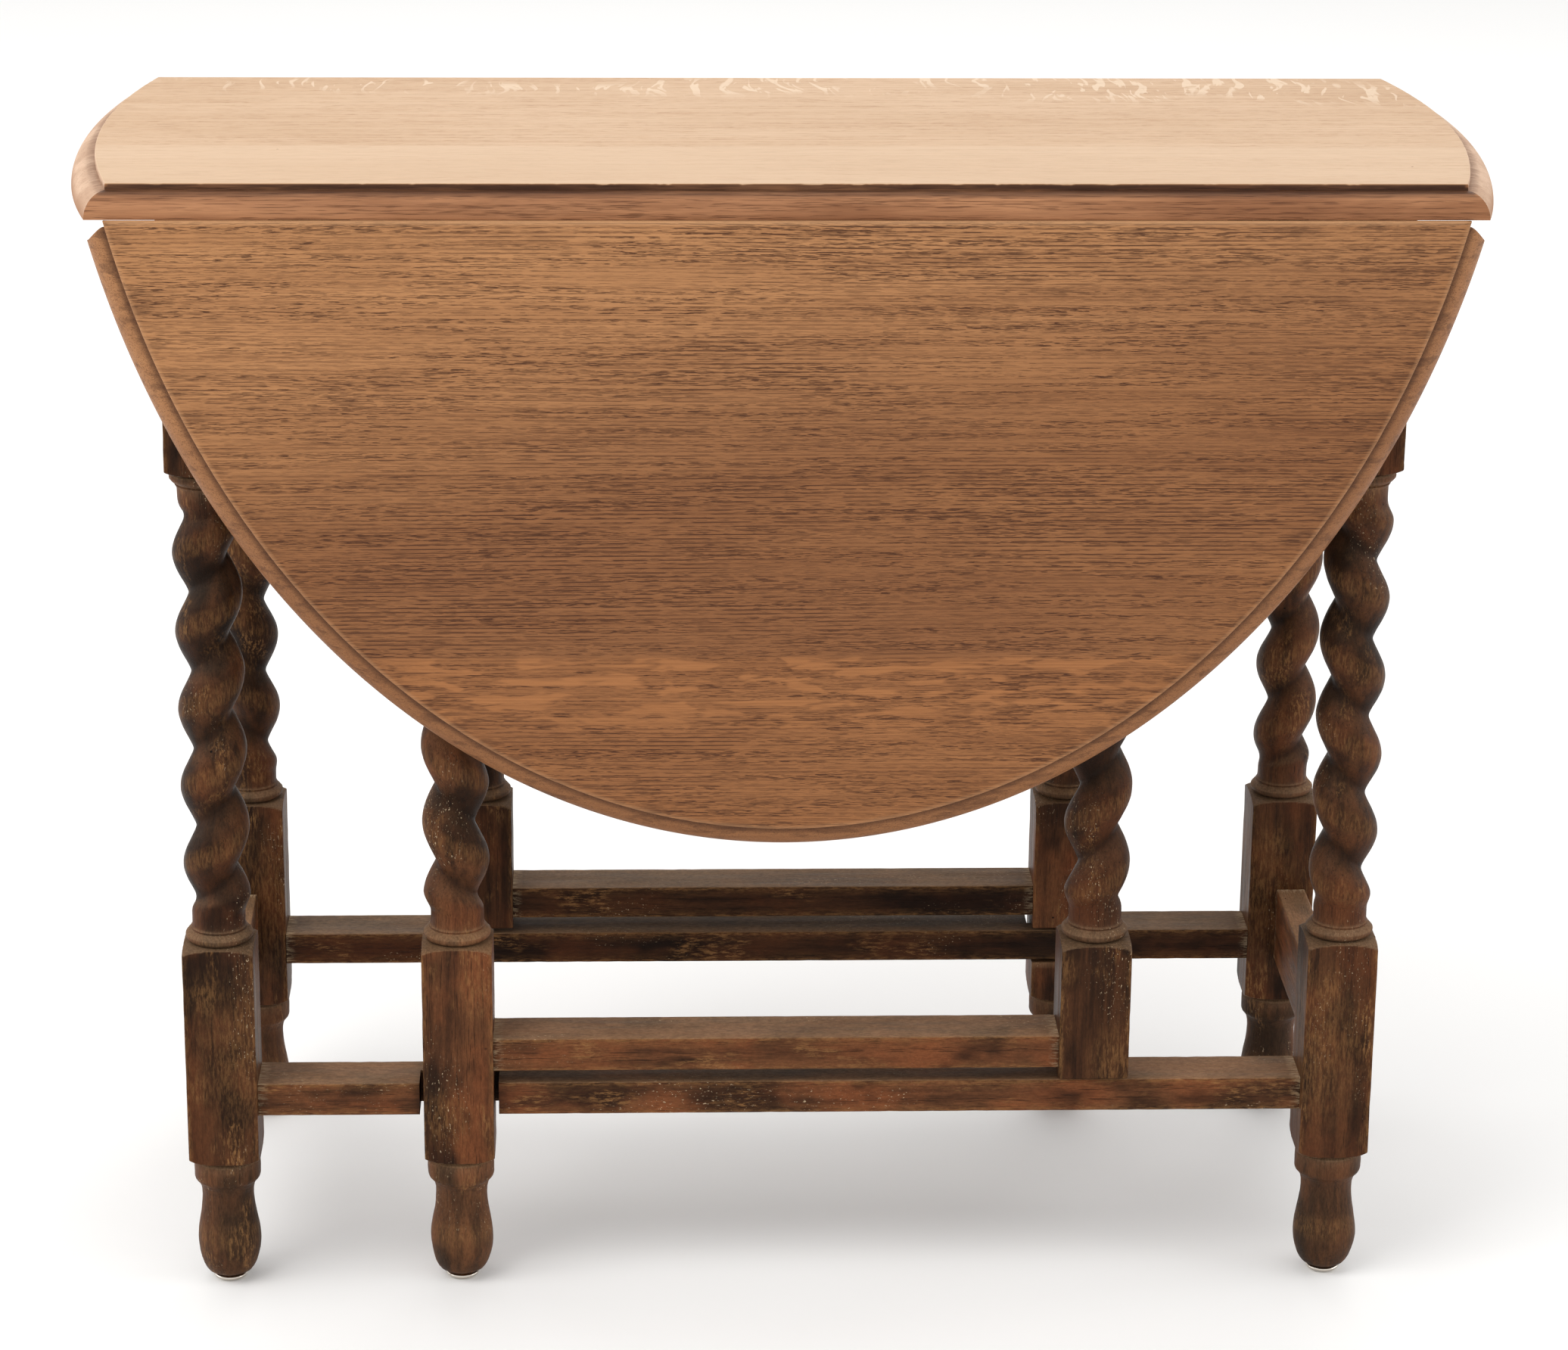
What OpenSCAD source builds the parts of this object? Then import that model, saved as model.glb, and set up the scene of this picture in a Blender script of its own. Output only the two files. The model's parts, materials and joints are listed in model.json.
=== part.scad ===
// Gateleg table, drawn closed with both leaves hanging.
// +X runs along the top, +Y to the back, +Z up; the origin is on the floor below the centre of the top.

/* [Top] */
// Height of the top above the floor
table_h = 735; // [680:1:890]
// Length of the oval along the hinge lines
top_len = 888; // [860:1:1100]
// Width of the oval with both leaves raised
open_w = 1134; // [1000:1:1350]
// Distance between the two hinge lines
centre_w = 330; // [322:1:400]
// Thickness of the boards
board_t = 19; // [17:0.5:24]
// Height of the square lip above the moulded edge
lip_h = 4; // [3:0.5:5]
// Working gap in the rule joints
rule_gap = 0.5; // [0.3:0.1:1]

/* [Frame] */
// Length over the corner legs
frame_len = 763; // [630:1:790]
// Depth over the corner legs
frame_dep = 312; // [250:1:314]
// Side of the square leg blocks
leg_s = 45; // [38:1:54]
// Height of the lower corner of the lower blocks
foot_h = 95; // [80:1:105]
// Length of the lower blocks
block_h = 136; // [120:1:160]
// Length of the upper blocks, up to the top
top_block_h = 160; // [150:1:190]

/* [Turning] */
// Height of the turned shoulder of a block
shoulder_h = 7; // [4:0.5:9]
// Diameter of the bead next to a block
bead_d = 43; // [36:0.5:44]
// Height of the bead
bead_h = 8; // [5:0.5:10]
// Diameter of the plain neck beside the bead
neck_d = 34; // [28:0.5:36]
// Length of the plain neck
neck_h = 14; // [8:0.5:18]
// Greatest diameter of the foot
bulb_d = 40; // [34:0.5:44]
// Height of the greatest diameter of the foot
bulb_z = 33; // [26:1:40]
// Waist diameter of the foot
waist_d = 33; // [26:0.5:34]
// Height of the waist of the foot
waist_z = 64; // [55:1:68]
// Diameter of the foot where the glide goes in
foot_end_d = 28; // [24:0.5:34]

/* [Twist] */
// Rise of the twist in one turn
twist_pitch = 51.5; // [42:0.1:62]
// Largest radius of the twist
twist_r = 21.2; // [18:0.1:22]
// Smallest radius of the twist, in the groove
groove_r = 12; // [9:0.1:15]
// Sharpness of the groove
groove_shape = 1.3; // [1:0.1:2]

/* [Rails] */
// Depth of the long stretchers and gate rails
rail_d = 37; // [30:1:40]
// Height of the long stretchers and gate rails
rail_h = 22; // [18:1:26]
// Height of the underside of the stretchers
rail_z = 120; // [105:1:125]
// Set-back of the long stretchers from the leg faces
rail_set = 8; // [5:1:10]
// Gap between a long stretcher and the gate rail above it
gate_lift = 10; // [5:1:12]
// Thickness of the end stretchers
end_t = 20; // [16:1:26]
// Height of the end stretchers
end_h = 52; // [40:1:60]
// Set-back of the end stretchers from the leg faces
end_set = 6; // [4:1:9]
// Thickness of the aprons
apron_t = 22; // [18:1:26]
// Height of the aprons
apron_h = 85; // [70:1:100]
// Height of the top gate rail below the apron
top_rail_drop = 19; // [10:1:25]

/* [Joints] */
// Thickness of the tenons
tenon_t = 8; // [6:0.5:10]
// Length of the tenons
tenon_l = 15; // [10:0.5:15.5]
// Shoulder above and below each tenon
tenon_in = 4; // [3:0.5:6]
// Clearance round a tenon in its mortise
mortise_gap = 0.1; // [0.05:0.05:0.3]

/* [Gates] */
// Distance of the gate leg centres from the middle of the table
gate_leg_x = 207.5; // [180:0.5:225]
// Distance of the pivot centres from the middle of the table
pivot_x = 201; // [180:0.5:215]
// Side gap of a gate leg in its notches
notch_side = 3; // [2:0.5:6]
// Depth of the notch in the long stretchers
notch_d = 21; // [12:1:22]
// Depth of the notch in the long aprons
apron_notch_d = 10; // [8:0.5:11]
// Gap behind a gate leg in its notches
notch_back = 1; // [0.5:0.5:2]
// Gap above and below a stretcher in the gate leg's rebate
rebate_gap = 2; // [1:0.5:3]
// Gap under the pivot posts
post_gap = 4; // [2:0.5:6]
// Gap above the pivot posts and the gate legs
post_top_gap = 1.5; // [0.5:0.5:3]
// Diameter of the pivot dowels
dowel_d = 11; // [8:0.5:12]
// Length of a pivot dowel inside its post
dowel_grip = 20; // [14:1:24]
// Length of a pivot dowel inside the stretcher or apron
dowel_run = 14; // [10:1:16]
// Radial clearance of a turning dowel or pin
turn_gap = 0.08; // [0.02:0.01:0.1]
// Radial clearance of a dowel, pin, screw or nail that is driven in
drive_gap = 0.02; // [0.01:0.01:0.05]

/* [Hinges] */
// Distance of the hinges from the middle of the table
hinge_x = 287; // [276:1:300]
// Width of a hinge along its pin
hinge_w = 48; // [40:1:56]
// Length of the flap under the centre board
short_flap = 27; // [24:1:30]
// Length of the flap under the leaf
long_flap = 50; // [44:1:60]
// Thickness of the hinge flaps
flap_t = 2; // [1.5:0.1:2.5]
// Outside diameter of the hinge barrels
barrel_d = 6.4; // [5.5:0.1:7]
// Diameter of the hinge pins
hinge_pin_d = 3; // [2.5:0.1:3.4]
// Gap round the hinges in the wood and between the barrels
hinge_gap = 0.4; // [0.2:0.1:0.6]

/* [Fastenings] */
// Shank diameter of the wood screws
screw_d = 3.4; // [3:0.1:4]
// Head diameter of the countersunk screws
screw_head_d = 6.6; // [6:0.1:7.4]
// Length of the hinge screws
screw_l = 13; // [10:0.5:14]
// Side of the fixing blocks under the top
fix_block_s = 20; // [18:0.5:24]
// Length of the fixing blocks
fix_block_l = 50; // [40:1:70]
// Bite of the top screws in the top
fix_bite = 12; // [8:0.5:14]
// Diameter of the glides
glide_d = 22; // [18:0.5:24]
// Height of the glides under the foot
glide_h = 6; // [5:0.5:8]
// Diameter of the nail of a glide
glide_nail_d = 3; // [2:0.5:4]
// Length of the nail of a glide
glide_nail_l = 16; // [10:1:22]
// Length of a gate stop
stop_l = 60; // [40:1:80]
// Width of a gate stop
stop_w = 20; // [16:1:26]
// Thickness of a gate stop
stop_t = 9; // [6:0.5:10]
// Opening angle of a gate against its stop
stop_angle = 65; // [55:1:70]

/* [Hidden] */
$fn = 48;
twist_sides = 18;
twist_steps = 9;
over = 1;
under_z = table_h - board_t;
ovolo_r = board_t - lip_h;
hinge_y = centre_w / 2;
leg_x = (frame_len - leg_s) / 2;
leg_y = (frame_dep - leg_s) / 2;
block_top_z = foot_h + block_h;
upper_z = under_z - top_block_h;
corner_r = leg_s * 0.72;
groove_d = neck_d + 2;
twist_lo = block_top_z + shoulder_h + bead_h + neck_h;
twist_hi = upper_z - shoulder_h - bead_h - neck_h;
collar_z = foot_h - shoulder_h - bead_h / 2 - 2;
rail_y = frame_dep / 2 - rail_set - rail_d / 2;
end_x = frame_len / 2 - end_set - end_t / 2;
bay_x = frame_len - 2 * leg_s;
bay_y = frame_dep - 2 * leg_s;
gate_bay = gate_leg_x + pivot_x - leg_s;
gate_mid_x = (pivot_x - gate_leg_x) / 2;
gate_low_z = rail_z + rail_h + gate_lift;
apron_z = under_z - apron_h;
gate_top_z = apron_z - top_rail_drop - rail_h;
post_z = rail_z + rail_h + post_gap;
post_top = apron_z - post_top_gap;
leg_rail_front = frame_dep / 2 - rail_set;
leg_apron_front = leg_y + apron_t / 2;
flap_edge = barrel_d / 2 + hinge_gap;
third = hinge_w / 3;
screw_spread = hinge_w * 0.3;
stop_reach = gate_leg_x + pivot_x;
stop_step = leg_s / 2 + stop_w / 2;
stop_x = pivot_x - stop_reach * cos(stop_angle) + stop_step * sin(stop_angle);
stop_y = leg_y + stop_reach * sin(stop_angle) + stop_step * cos(stop_angle);
wood_dark = [0.30, 0.19, 0.12];
wood_mid = [0.50, 0.33, 0.20];
wood_pale = [0.78, 0.64, 0.46];
steel = [0.45, 0.43, 0.40];
nickel = [0.75, 0.74, 0.72];

// Points of an ellipse with semi-axes a and b
function oval(a, b, n = 96) = [for (i = [0:n - 1]) [a * cos(360 * i / n), b * sin(360 * i / n)]];

// Half wave from r0 at z0 to r1 at z1
function wave(r0, r1, z0, z1, n = 5) =
    [for (i = [0:n]) [r0 + (r1 - r0) * (1 - cos(180 * i / n)) / 2, z0 + (z1 - z0) * i / n]];

// Half round of height h standing out to radius r, centred at z
function bead(r, h, z, n = 6) =
    [for (i = [0:n]) [r - h / 2 + h / 2 * sin(180 * i / n), z - h / 2 * cos(180 * i / n)]];

// Quarter round from the axis side (r0, z0) out to (r1, z1)
function shoulder(r0, r1, z0, z1, n = 5) =
    [for (i = [0:n]) [r0 + (r1 - r0) * sin(90 * i / n), z1 + (z0 - z1) * cos(90 * i / n)]];

// Section of the twist: round, with one groove on its +X side
function twist_section(n = twist_sides) = [for (i = [0:n - 1])
    let (a = 360 * i / n, r = groove_r + (twist_r - groove_r) * pow(abs(sin(a / 2)), groove_shape))
    [r * cos(a), r * sin(a)]];

function reversed(list) = [for (i = [len(list) - 1:-1:0]) list[i]];

// The whole raised oval, with its moulded edge
module raised_oval() {
    a = top_len / 2;
    b = open_w / 2;
    for (k = [0:30:60])
        hull() {
            translate([0, 0, under_z + ovolo_r * sin(k)])
                linear_extrude(0.01)
                    polygon(oval(a - ovolo_r * (1 - cos(k)), b - ovolo_r * (1 - cos(k))));
            translate([0, 0, under_z + ovolo_r * sin(k + 30) - 0.01])
                linear_extrude(0.01)
                    polygon(oval(a - ovolo_r * (1 - cos(k + 30)), b - ovolo_r * (1 - cos(k + 30))));
        }
    translate([0, 0, under_z + ovolo_r - 0.01])
        linear_extrude(lip_h + 0.01)
            polygon(oval(a - ovolo_r, b - ovolo_r));
}

// Puts a raised leaf piece of the front side into its hanging place
module hang() {
    translate([0, -hinge_y, under_z])
        rotate([90, 0, 0])
            translate([0, hinge_y, -under_z])
                children();
}

// Copies to the two hinge places
module at_hinges() {
    for (x = [-hinge_x, hinge_x])
        translate([x, -hinge_y, under_z])
            children();
}

// Repeats for the front and the back
module both_sides() {
    for (a = [0, 180])
        rotate([0, 0, a])
            children();
}

module screw(l, gap = 0) {
    head_h = (screw_head_d - screw_d) / 2;
    cylinder(d1 = screw_head_d + 2 * gap, d2 = screw_d + 2 * gap, h = head_h);
    cylinder(d = screw_d + 2 * gap, h = l + gap);
}

// Screw places of the short flap and the long flap, measured from the pin
module short_flap_screws() {
    for (x = [-screw_spread, 0, screw_spread])
        translate([x, short_flap - (x == 0 ? 12 : 6), 0])
            children();
}

module long_flap_screws() {
    for (x = [-screw_spread, 0, screw_spread])
        translate([x, -long_flap + (x == 0 ? 20 : 7), 0])
            children();
}

module barrel(x0, x1) {
    translate([x0, 0, 0])
        rotate([0, 90, 0])
            cylinder(d = barrel_d, h = x1 - x0);
}

module pin_bore() {
    translate([-hinge_w / 2 - over, 0, 0])
        rotate([0, 90, 0])
            cylinder(d = hinge_pin_d + 2 * turn_gap, h = hinge_w + 2 * over);
}

// Fixed half of a hinge: flap with the two outer barrels
module hinge_plate() {
    difference() {
        union() {
            translate([-hinge_w / 2, flap_edge, 0])
                cube([hinge_w, short_flap - flap_edge, flap_t]);
            for (s = [-1, 1]) {
                x0 = s < 0 ? -hinge_w / 2 : third / 2;
                translate([x0, 0, 0])
                    cube([third, flap_edge + over, flap_t]);
                barrel(x0, x0 + third);
            }
        }
        pin_bore();
        short_flap_screws() screw(screw_l, drive_gap);
    }
}

// Moving half of a hinge, raised: flap with the middle barrel
module hinge_flap() {
    w = third - 2 * hinge_gap;
    difference() {
        union() {
            translate([-hinge_w / 2, -long_flap, 0])
                cube([hinge_w, long_flap - flap_edge, flap_t]);
            translate([-w / 2, -flap_edge - over, 0])
                cube([w, flap_edge + over, flap_t]);
            barrel(-w / 2, w / 2);
        }
        pin_bore();
        long_flap_screws() screw(screw_l, drive_gap);
    }
}

// Room for a hinge in the underside of the centre board
module plate_recess() {
    w = hinge_w + 2 * hinge_gap;
    translate([-w / 2, 0, -over])
        cube([w, short_flap + hinge_gap, over + flap_t]);
    translate([-w / 2, -ovolo_r - over, -over])
        cube([w, ovolo_r + over, over + flap_t + hinge_gap]);
    translate([-w / 2, 0, 0])
        rotate([0, 90, 0])
            cylinder(d = barrel_d + 2 * hinge_gap, h = w);
    short_flap_screws() screw(screw_l, drive_gap);
}

// Room for a hinge flap in the underside of a leaf
module flap_recess() {
    w = hinge_w + 2 * hinge_gap;
    translate([-w / 2, -long_flap - hinge_gap, -over])
        cube([w, long_flap + hinge_gap, over + flap_t]);
    long_flap_screws() screw(screw_l, drive_gap);
}

// Places of the screws that hold the top
module at_fix_screws() {
    for (x = [-120, 120], s = [-1, 1])
        translate([x, s * (leg_y - apron_t / 2 - fix_block_s / 2), under_z])
            children();
    for (s = [-1, 1])
        translate([s * (leg_x - apron_t / 2 - fix_block_s / 2), 0, under_z])
            rotate([0, 0, 90])
                children();
}

module top_board() {
    color(wood_pale)
        difference() {
            intersection() {
                raised_oval();
                rotate([90, 0, 90])
                    linear_extrude(top_len + 2 * over, center = true)
                        union() {
                            translate([-hinge_y, under_z])
                                square([centre_w, board_t + over]);
                            for (s = [-1, 1])
                                intersection() {
                                    translate([s * hinge_y, under_z])
                                        circle(r = ovolo_r, $fn = 96);
                                    translate([-open_w / 2, under_z])
                                        square([open_w, board_t]);
                                }
                        }
            }
            both_sides() at_hinges() plate_recess();
            at_fix_screws()
                cylinder(d = screw_d + 2 * drive_gap, h = fix_bite);
        }
}

// One leaf, raised, on the front side
module raised_leaf() {
    difference() {
        intersection() {
            raised_oval();
            translate([-top_len, -open_w, 0])
                cube([2 * top_len, open_w - hinge_y - rule_gap, 2 * table_h]);
        }
        translate([-top_len, -hinge_y, under_z])
            rotate([0, 90, 0])
                cylinder(r = ovolo_r + rule_gap, h = 2 * top_len, $fn = 96);
        at_hinges() flap_recess();
        at_stop_screws() cylinder(d = screw_d + 2 * drive_gap, h = screw_l);
    }
}

module leaf_front() {
    color(wood_mid) hang() raised_leaf();
}

module leaf_back() {
    color(wood_mid) rotate([0, 0, 180]) hang() raised_leaf();
}

// Square block with turned shoulders; an end without a shoulder is cut square
module block(z0, z1, low = true, high = true) {
    r0 = groove_d / 2;
    lo = low ? shoulder(r0, corner_r, z0 - shoulder_h, z0) : [[corner_r, z0]];
    hi = high ? reversed(shoulder(r0, corner_r, z1 + shoulder_h, z1)) : [[corner_r, z1]];
    zl = low ? z0 - shoulder_h : z0;
    zh = high ? z1 + shoulder_h : z1;
    intersection() {
        translate([-leg_s / 2, -leg_s / 2, zl])
            cube([leg_s, leg_s, zh - zl]);
        rotate_extrude()
            polygon(concat([[0, zl]], lo, hi, [[0, zh]]));
    }
}

// Bead and neck between a block and the twist, going up from z
module neck_and_bead(z, up) {
    m = up ? 1 : -1;
    pts = concat([[0, 0], [neck_d / 2, 0]], bead(bead_d / 2, bead_h, bead_h / 2),
        [[neck_d / 2, bead_h], [neck_d / 2, bead_h + neck_h], [0, bead_h + neck_h]]);
    rotate_extrude()
        polygon([for (p = pts) [p[0], z + m * p[1]]]);
}

module foot() {
    pts = concat([[0, glide_h], [foot_end_d / 2, glide_h]],
        [for (i = [1:5]) [foot_end_d / 2 + (bulb_d - foot_end_d) / 2 * sin(18 * i),
            glide_h + (bulb_z - glide_h) * i / 5]],
        wave(bulb_d / 2, waist_d / 2, bulb_z, waist_z),
        bead(bead_d / 2, bead_h, collar_z),
        [[groove_d / 2, collar_z + bead_h / 2], [groove_d / 2, foot_h - shoulder_h],
            [0, foot_h - shoulder_h]]);
    difference() {
        rotate_extrude()
            polygon(pts);
        translate([0, 0, glide_h - over])
            cylinder(d = glide_nail_d + 2 * drive_gap, h = over + glide_nail_l);
    }
}

// Turned upright on its own axis; hand is 1 for a right-hand twist, turn is the groove's bearing at twist_lo
module upright(hand, turn, z_low, z_top, footed) {
    turns = (twist_hi - twist_lo) / twist_pitch;
    if (footed)
        foot();
    block(z_low, block_top_z, footed, true);
    neck_and_bead(block_top_z + shoulder_h, true);
    translate([0, 0, twist_lo])
        linear_extrude(twist_hi - twist_lo, twist = -hand * 360 * turns,
            slices = ceil(twist_steps * turns), $fn = twist_sides)
            rotate([0, 0, turn])
                polygon(twist_section());
    neck_and_bead(upper_z - shoulder_h, false);
    block(upper_z, z_top, true, false);
}

// Bar along X with tenons, by its centre, underside height and section
module x_bar(len, x, y, z, d, h) {
    translate([x - len / 2, y - d / 2, z])
        cube([len, d, h]);
    translate([x - len / 2 - tenon_l, y - tenon_t / 2, z + tenon_in])
        cube([len + 2 * tenon_l, tenon_t, h - 2 * tenon_in]);
}

// Mortises for the tenons of an x_bar
module x_mortises(len, x, y, z, h) {
    g = mortise_gap;
    translate([x - len / 2 - tenon_l - g, y - tenon_t / 2 - g, z + tenon_in - g])
        cube([len + 2 * tenon_l + 2 * g, tenon_t + 2 * g, h - 2 * tenon_in + 2 * g]);
}

module y_bar(len, x, z, t, h) {
    rotate([0, 0, 90])
        x_bar(len, 0, -x, z, t, h);
}

module y_mortises(len, x, z, h) {
    rotate([0, 0, 90])
        x_mortises(len, 0, -x, z, h);
}

// Corner leg standing at the side sx, sy
module corner_leg(sx, sy, hand, turn) {
    color(wood_dark)
        difference() {
            translate([sx * leg_x, sy * leg_y, 0])
                upright(hand, turn, foot_h, under_z, true);
            x_mortises(bay_x, 0, sy * rail_y, rail_z, rail_h);
            x_mortises(bay_x, 0, sy * leg_y, apron_z, apron_h);
            y_mortises(bay_y, sx * end_x, rail_z, end_h);
            y_mortises(bay_y, sx * leg_x, apron_z, apron_h);
        }
}

module leg_front_left() {
    corner_leg(-1, -1, 1, 158);
}

module leg_front_right() {
    corner_leg(1, -1, -1, 151);
}

module leg_back_left() {
    corner_leg(-1, 1, -1, 127);
}

module leg_back_right() {
    corner_leg(1, 1, 1, 212);
}

// Notch for the gate leg in a long rail, cut from its front face at y
module gate_notch(y, d) {
    w = leg_s + 2 * notch_side;
    translate([-gate_leg_x - w / 2, -y - over, 0])
        cube([w, d + over, table_h]);
}

module front_apron() {
    difference() {
        x_bar(bay_x, 0, -leg_y, apron_z, apron_t, apron_h);
        gate_notch(leg_apron_front, apron_notch_d);
        translate([pivot_x, -leg_y, apron_z - over])
            cylinder(d = dowel_d + 2 * turn_gap, h = over + dowel_run + post_top_gap);
    }
}

module apron_front() {
    color(wood_dark) front_apron();
}

module apron_back() {
    color(wood_dark) rotate([0, 0, 180]) front_apron();
}

module apron_left() {
    color(wood_dark) y_bar(bay_y, -leg_x, apron_z, apron_t, apron_h);
}

module apron_right() {
    color(wood_dark) y_bar(bay_y, leg_x, apron_z, apron_t, apron_h);
}

module front_stretcher() {
    difference() {
        x_bar(bay_x, 0, -rail_y, rail_z, rail_d, rail_h);
        gate_notch(leg_rail_front, notch_d);
        translate([pivot_x, -leg_y, rail_z + rail_h - dowel_run - over])
            cylinder(d = dowel_d + 2 * turn_gap, h = dowel_run + 2 * over);
    }
}

module stretcher_front() {
    color(wood_dark) front_stretcher();
}

module stretcher_back() {
    color(wood_dark) rotate([0, 0, 180]) front_stretcher();
}

module stretcher_left() {
    color(wood_dark) y_bar(bay_y, -end_x, rail_z, end_t, end_h);
}

module stretcher_right() {
    color(wood_dark) y_bar(bay_y, end_x, rail_z, end_t, end_h);
}

module fixing_blocks() {
    color(wood_mid)
        difference() {
            at_fix_screws()
                translate([-fix_block_l / 2, -fix_block_s / 2, -fix_block_s])
                    cube([fix_block_l, fix_block_s, fix_block_s]);
            at_fix_screws()
                translate([0, 0, -fix_block_s])
                    screw(fix_block_s + fix_bite, drive_gap);
        }
}

module fixing_screws() {
    color(steel)
        at_fix_screws()
            translate([0, 0, -fix_block_s])
                screw(fix_block_s + fix_bite);
}

module glide() {
    r = glide_d / 2;
    rotate_extrude()
        polygon([[0, 0], [r * 0.55, 0], [r * 0.85, glide_h * 0.12], [r, glide_h * 0.4],
            [r, glide_h * 0.55], [r * 0.75, glide_h * 0.7], [r * 0.75, glide_h], [0, glide_h]]);
    translate([0, 0, glide_h - over])
        cylinder(d = glide_nail_d, h = over + glide_nail_l);
}

module glides_fixed() {
    color(nickel)
        for (x = [-leg_x, leg_x], y = [-leg_y, leg_y])
            translate([x, y, 0])
                glide();
}

module hinge_plates() {
    color(steel) both_sides() at_hinges() hinge_plate();
}

module hinge_pins() {
    color(steel)
        both_sides() at_hinges()
            translate([-hinge_w / 2, 0, 0])
                rotate([0, 90, 0])
                    cylinder(d = hinge_pin_d, h = hinge_w);
}

module hinge_plate_screws() {
    color(steel) both_sides() at_hinges() short_flap_screws() screw(screw_l);
}

module hinge_flaps_front() {
    color(steel) hang() at_hinges() hinge_flap();
}

module hinge_flaps_back() {
    color(steel) rotate([0, 0, 180]) hang() at_hinges() hinge_flap();
}

module flap_screws_front() {
    color(steel) hang() at_hinges() long_flap_screws() screw(screw_l);
}

module flap_screws_back() {
    color(steel) rotate([0, 0, 180]) hang() at_hinges() long_flap_screws() screw(screw_l);
}

// Block under a raised leaf that the opened gate leg comes to rest against
module at_stop() {
    translate([stop_x, -stop_y, under_z])
        rotate([0, 0, stop_angle])
            children();
}

module at_stop_screws() {
    at_stop()
        for (x = [-stop_l / 4, stop_l / 4])
            translate([x, 0, 0])
                children();
}

module raised_stop() {
    difference() {
        at_stop()
            translate([-stop_l / 2, -stop_w / 2, -stop_t])
                cube([stop_l, stop_w, stop_t]);
        at_stop_screws()
            translate([0, 0, -stop_t])
                screw(stop_t + over, drive_gap);
    }
}

module raised_stop_screws() {
    at_stop_screws()
        translate([0, 0, -stop_t])
            screw(stop_t + screw_l - over);
}

module gate_stop_front() {
    color(wood_mid) hang() raised_stop();
}

module gate_stop_back() {
    color(wood_mid) rotate([0, 0, 180]) hang() raised_stop();
}

module stop_screws_front() {
    color(steel) hang() raised_stop_screws();
}

module stop_screws_back() {
    color(steel) rotate([0, 0, 180]) hang() raised_stop_screws();
}

module gate_mortises() {
    x_mortises(gate_bay, gate_mid_x, -leg_y, gate_low_z, rail_h);
    x_mortises(gate_bay, gate_mid_x, -leg_y, gate_top_z, rail_h);
}

// Gate leg of the front gate, rebated behind to pass the stretcher and the apron
module front_gate_leg() {
    behind_low = leg_rail_front - notch_d - leg_y + notch_back;
    behind_top = leg_apron_front - apron_notch_d - leg_y + notch_back;
    difference() {
        translate([-gate_leg_x, -leg_y, 0])
            upright(-1, 45, foot_h, under_z - post_top_gap, true);
        gate_mortises();
        translate([-gate_leg_x - leg_s, -leg_y - behind_low, rail_z - rebate_gap])
            cube([2 * leg_s, leg_s, rail_h + 2 * rebate_gap]);
        translate([-gate_leg_x - leg_s, -leg_y - behind_top, apron_z - rebate_gap])
            cube([2 * leg_s, leg_s, apron_h + 2 * rebate_gap]);
    }
}

module gate_leg_front() {
    color(wood_dark) front_gate_leg();
}

module gate_leg_back() {
    color(wood_dark) rotate([0, 0, 180]) front_gate_leg();
}

module front_gate_post() {
    difference() {
        translate([pivot_x, -leg_y, 0])
            upright(1, 337, post_z, post_top, false);
        gate_mortises();
        translate([pivot_x, -leg_y, post_z - over])
            cylinder(d = dowel_d + 2 * drive_gap, h = dowel_grip + over);
        translate([pivot_x, -leg_y, post_top - dowel_grip])
            cylinder(d = dowel_d + 2 * drive_gap, h = dowel_grip + over);
    }
}

module gate_post_front() {
    color(wood_dark) front_gate_post();
}

module gate_post_back() {
    color(wood_dark) rotate([0, 0, 180]) front_gate_post();
}

module gate_top_rail_front() {
    color(wood_dark) x_bar(gate_bay, gate_mid_x, -leg_y, gate_top_z, rail_d, rail_h);
}

module gate_top_rail_back() {
    color(wood_dark) rotate([0, 0, 180]) x_bar(gate_bay, gate_mid_x, -leg_y, gate_top_z, rail_d, rail_h);
}

module gate_low_rail_front() {
    color(wood_dark) x_bar(gate_bay, gate_mid_x, -leg_y, gate_low_z, rail_d, rail_h);
}

module gate_low_rail_back() {
    color(wood_dark) rotate([0, 0, 180]) x_bar(gate_bay, gate_mid_x, -leg_y, gate_low_z, rail_d, rail_h);
}

module front_pivot_dowels() {
    translate([pivot_x, -leg_y, rail_z + rail_h - dowel_run])
        cylinder(d = dowel_d, h = dowel_run + post_gap + dowel_grip);
    translate([pivot_x, -leg_y, post_top - dowel_grip])
        cylinder(d = dowel_d, h = dowel_grip + post_top_gap + dowel_run);
}

module pivot_dowels_front() {
    color(wood_mid) front_pivot_dowels();
}

module pivot_dowels_back() {
    color(wood_mid) rotate([0, 0, 180]) front_pivot_dowels();
}

module gate_glide_front() {
    color(nickel) translate([-gate_leg_x, -leg_y, 0]) glide();
}

module gate_glide_back() {
    color(nickel) translate([gate_leg_x, leg_y, 0]) glide();
}

top_board();
leaf_front();
leaf_back();
leg_front_left();
leg_front_right();
leg_back_left();
leg_back_right();
apron_front();
apron_back();
apron_left();
apron_right();
stretcher_front();
stretcher_back();
stretcher_left();
stretcher_right();
fixing_blocks();
fixing_screws();
glides_fixed();
hinge_plates();
hinge_pins();
hinge_plate_screws();
hinge_flaps_front();
hinge_flaps_back();
flap_screws_front();
flap_screws_back();
gate_stop_front();
gate_stop_back();
stop_screws_front();
stop_screws_back();
gate_leg_front();
gate_leg_back();
gate_post_front();
gate_post_back();
gate_top_rail_front();
gate_top_rail_back();
gate_low_rail_front();
gate_low_rail_back();
pivot_dowels_front();
pivot_dowels_back();
gate_glide_front();
gate_glide_back();
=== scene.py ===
import json
import math

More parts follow.
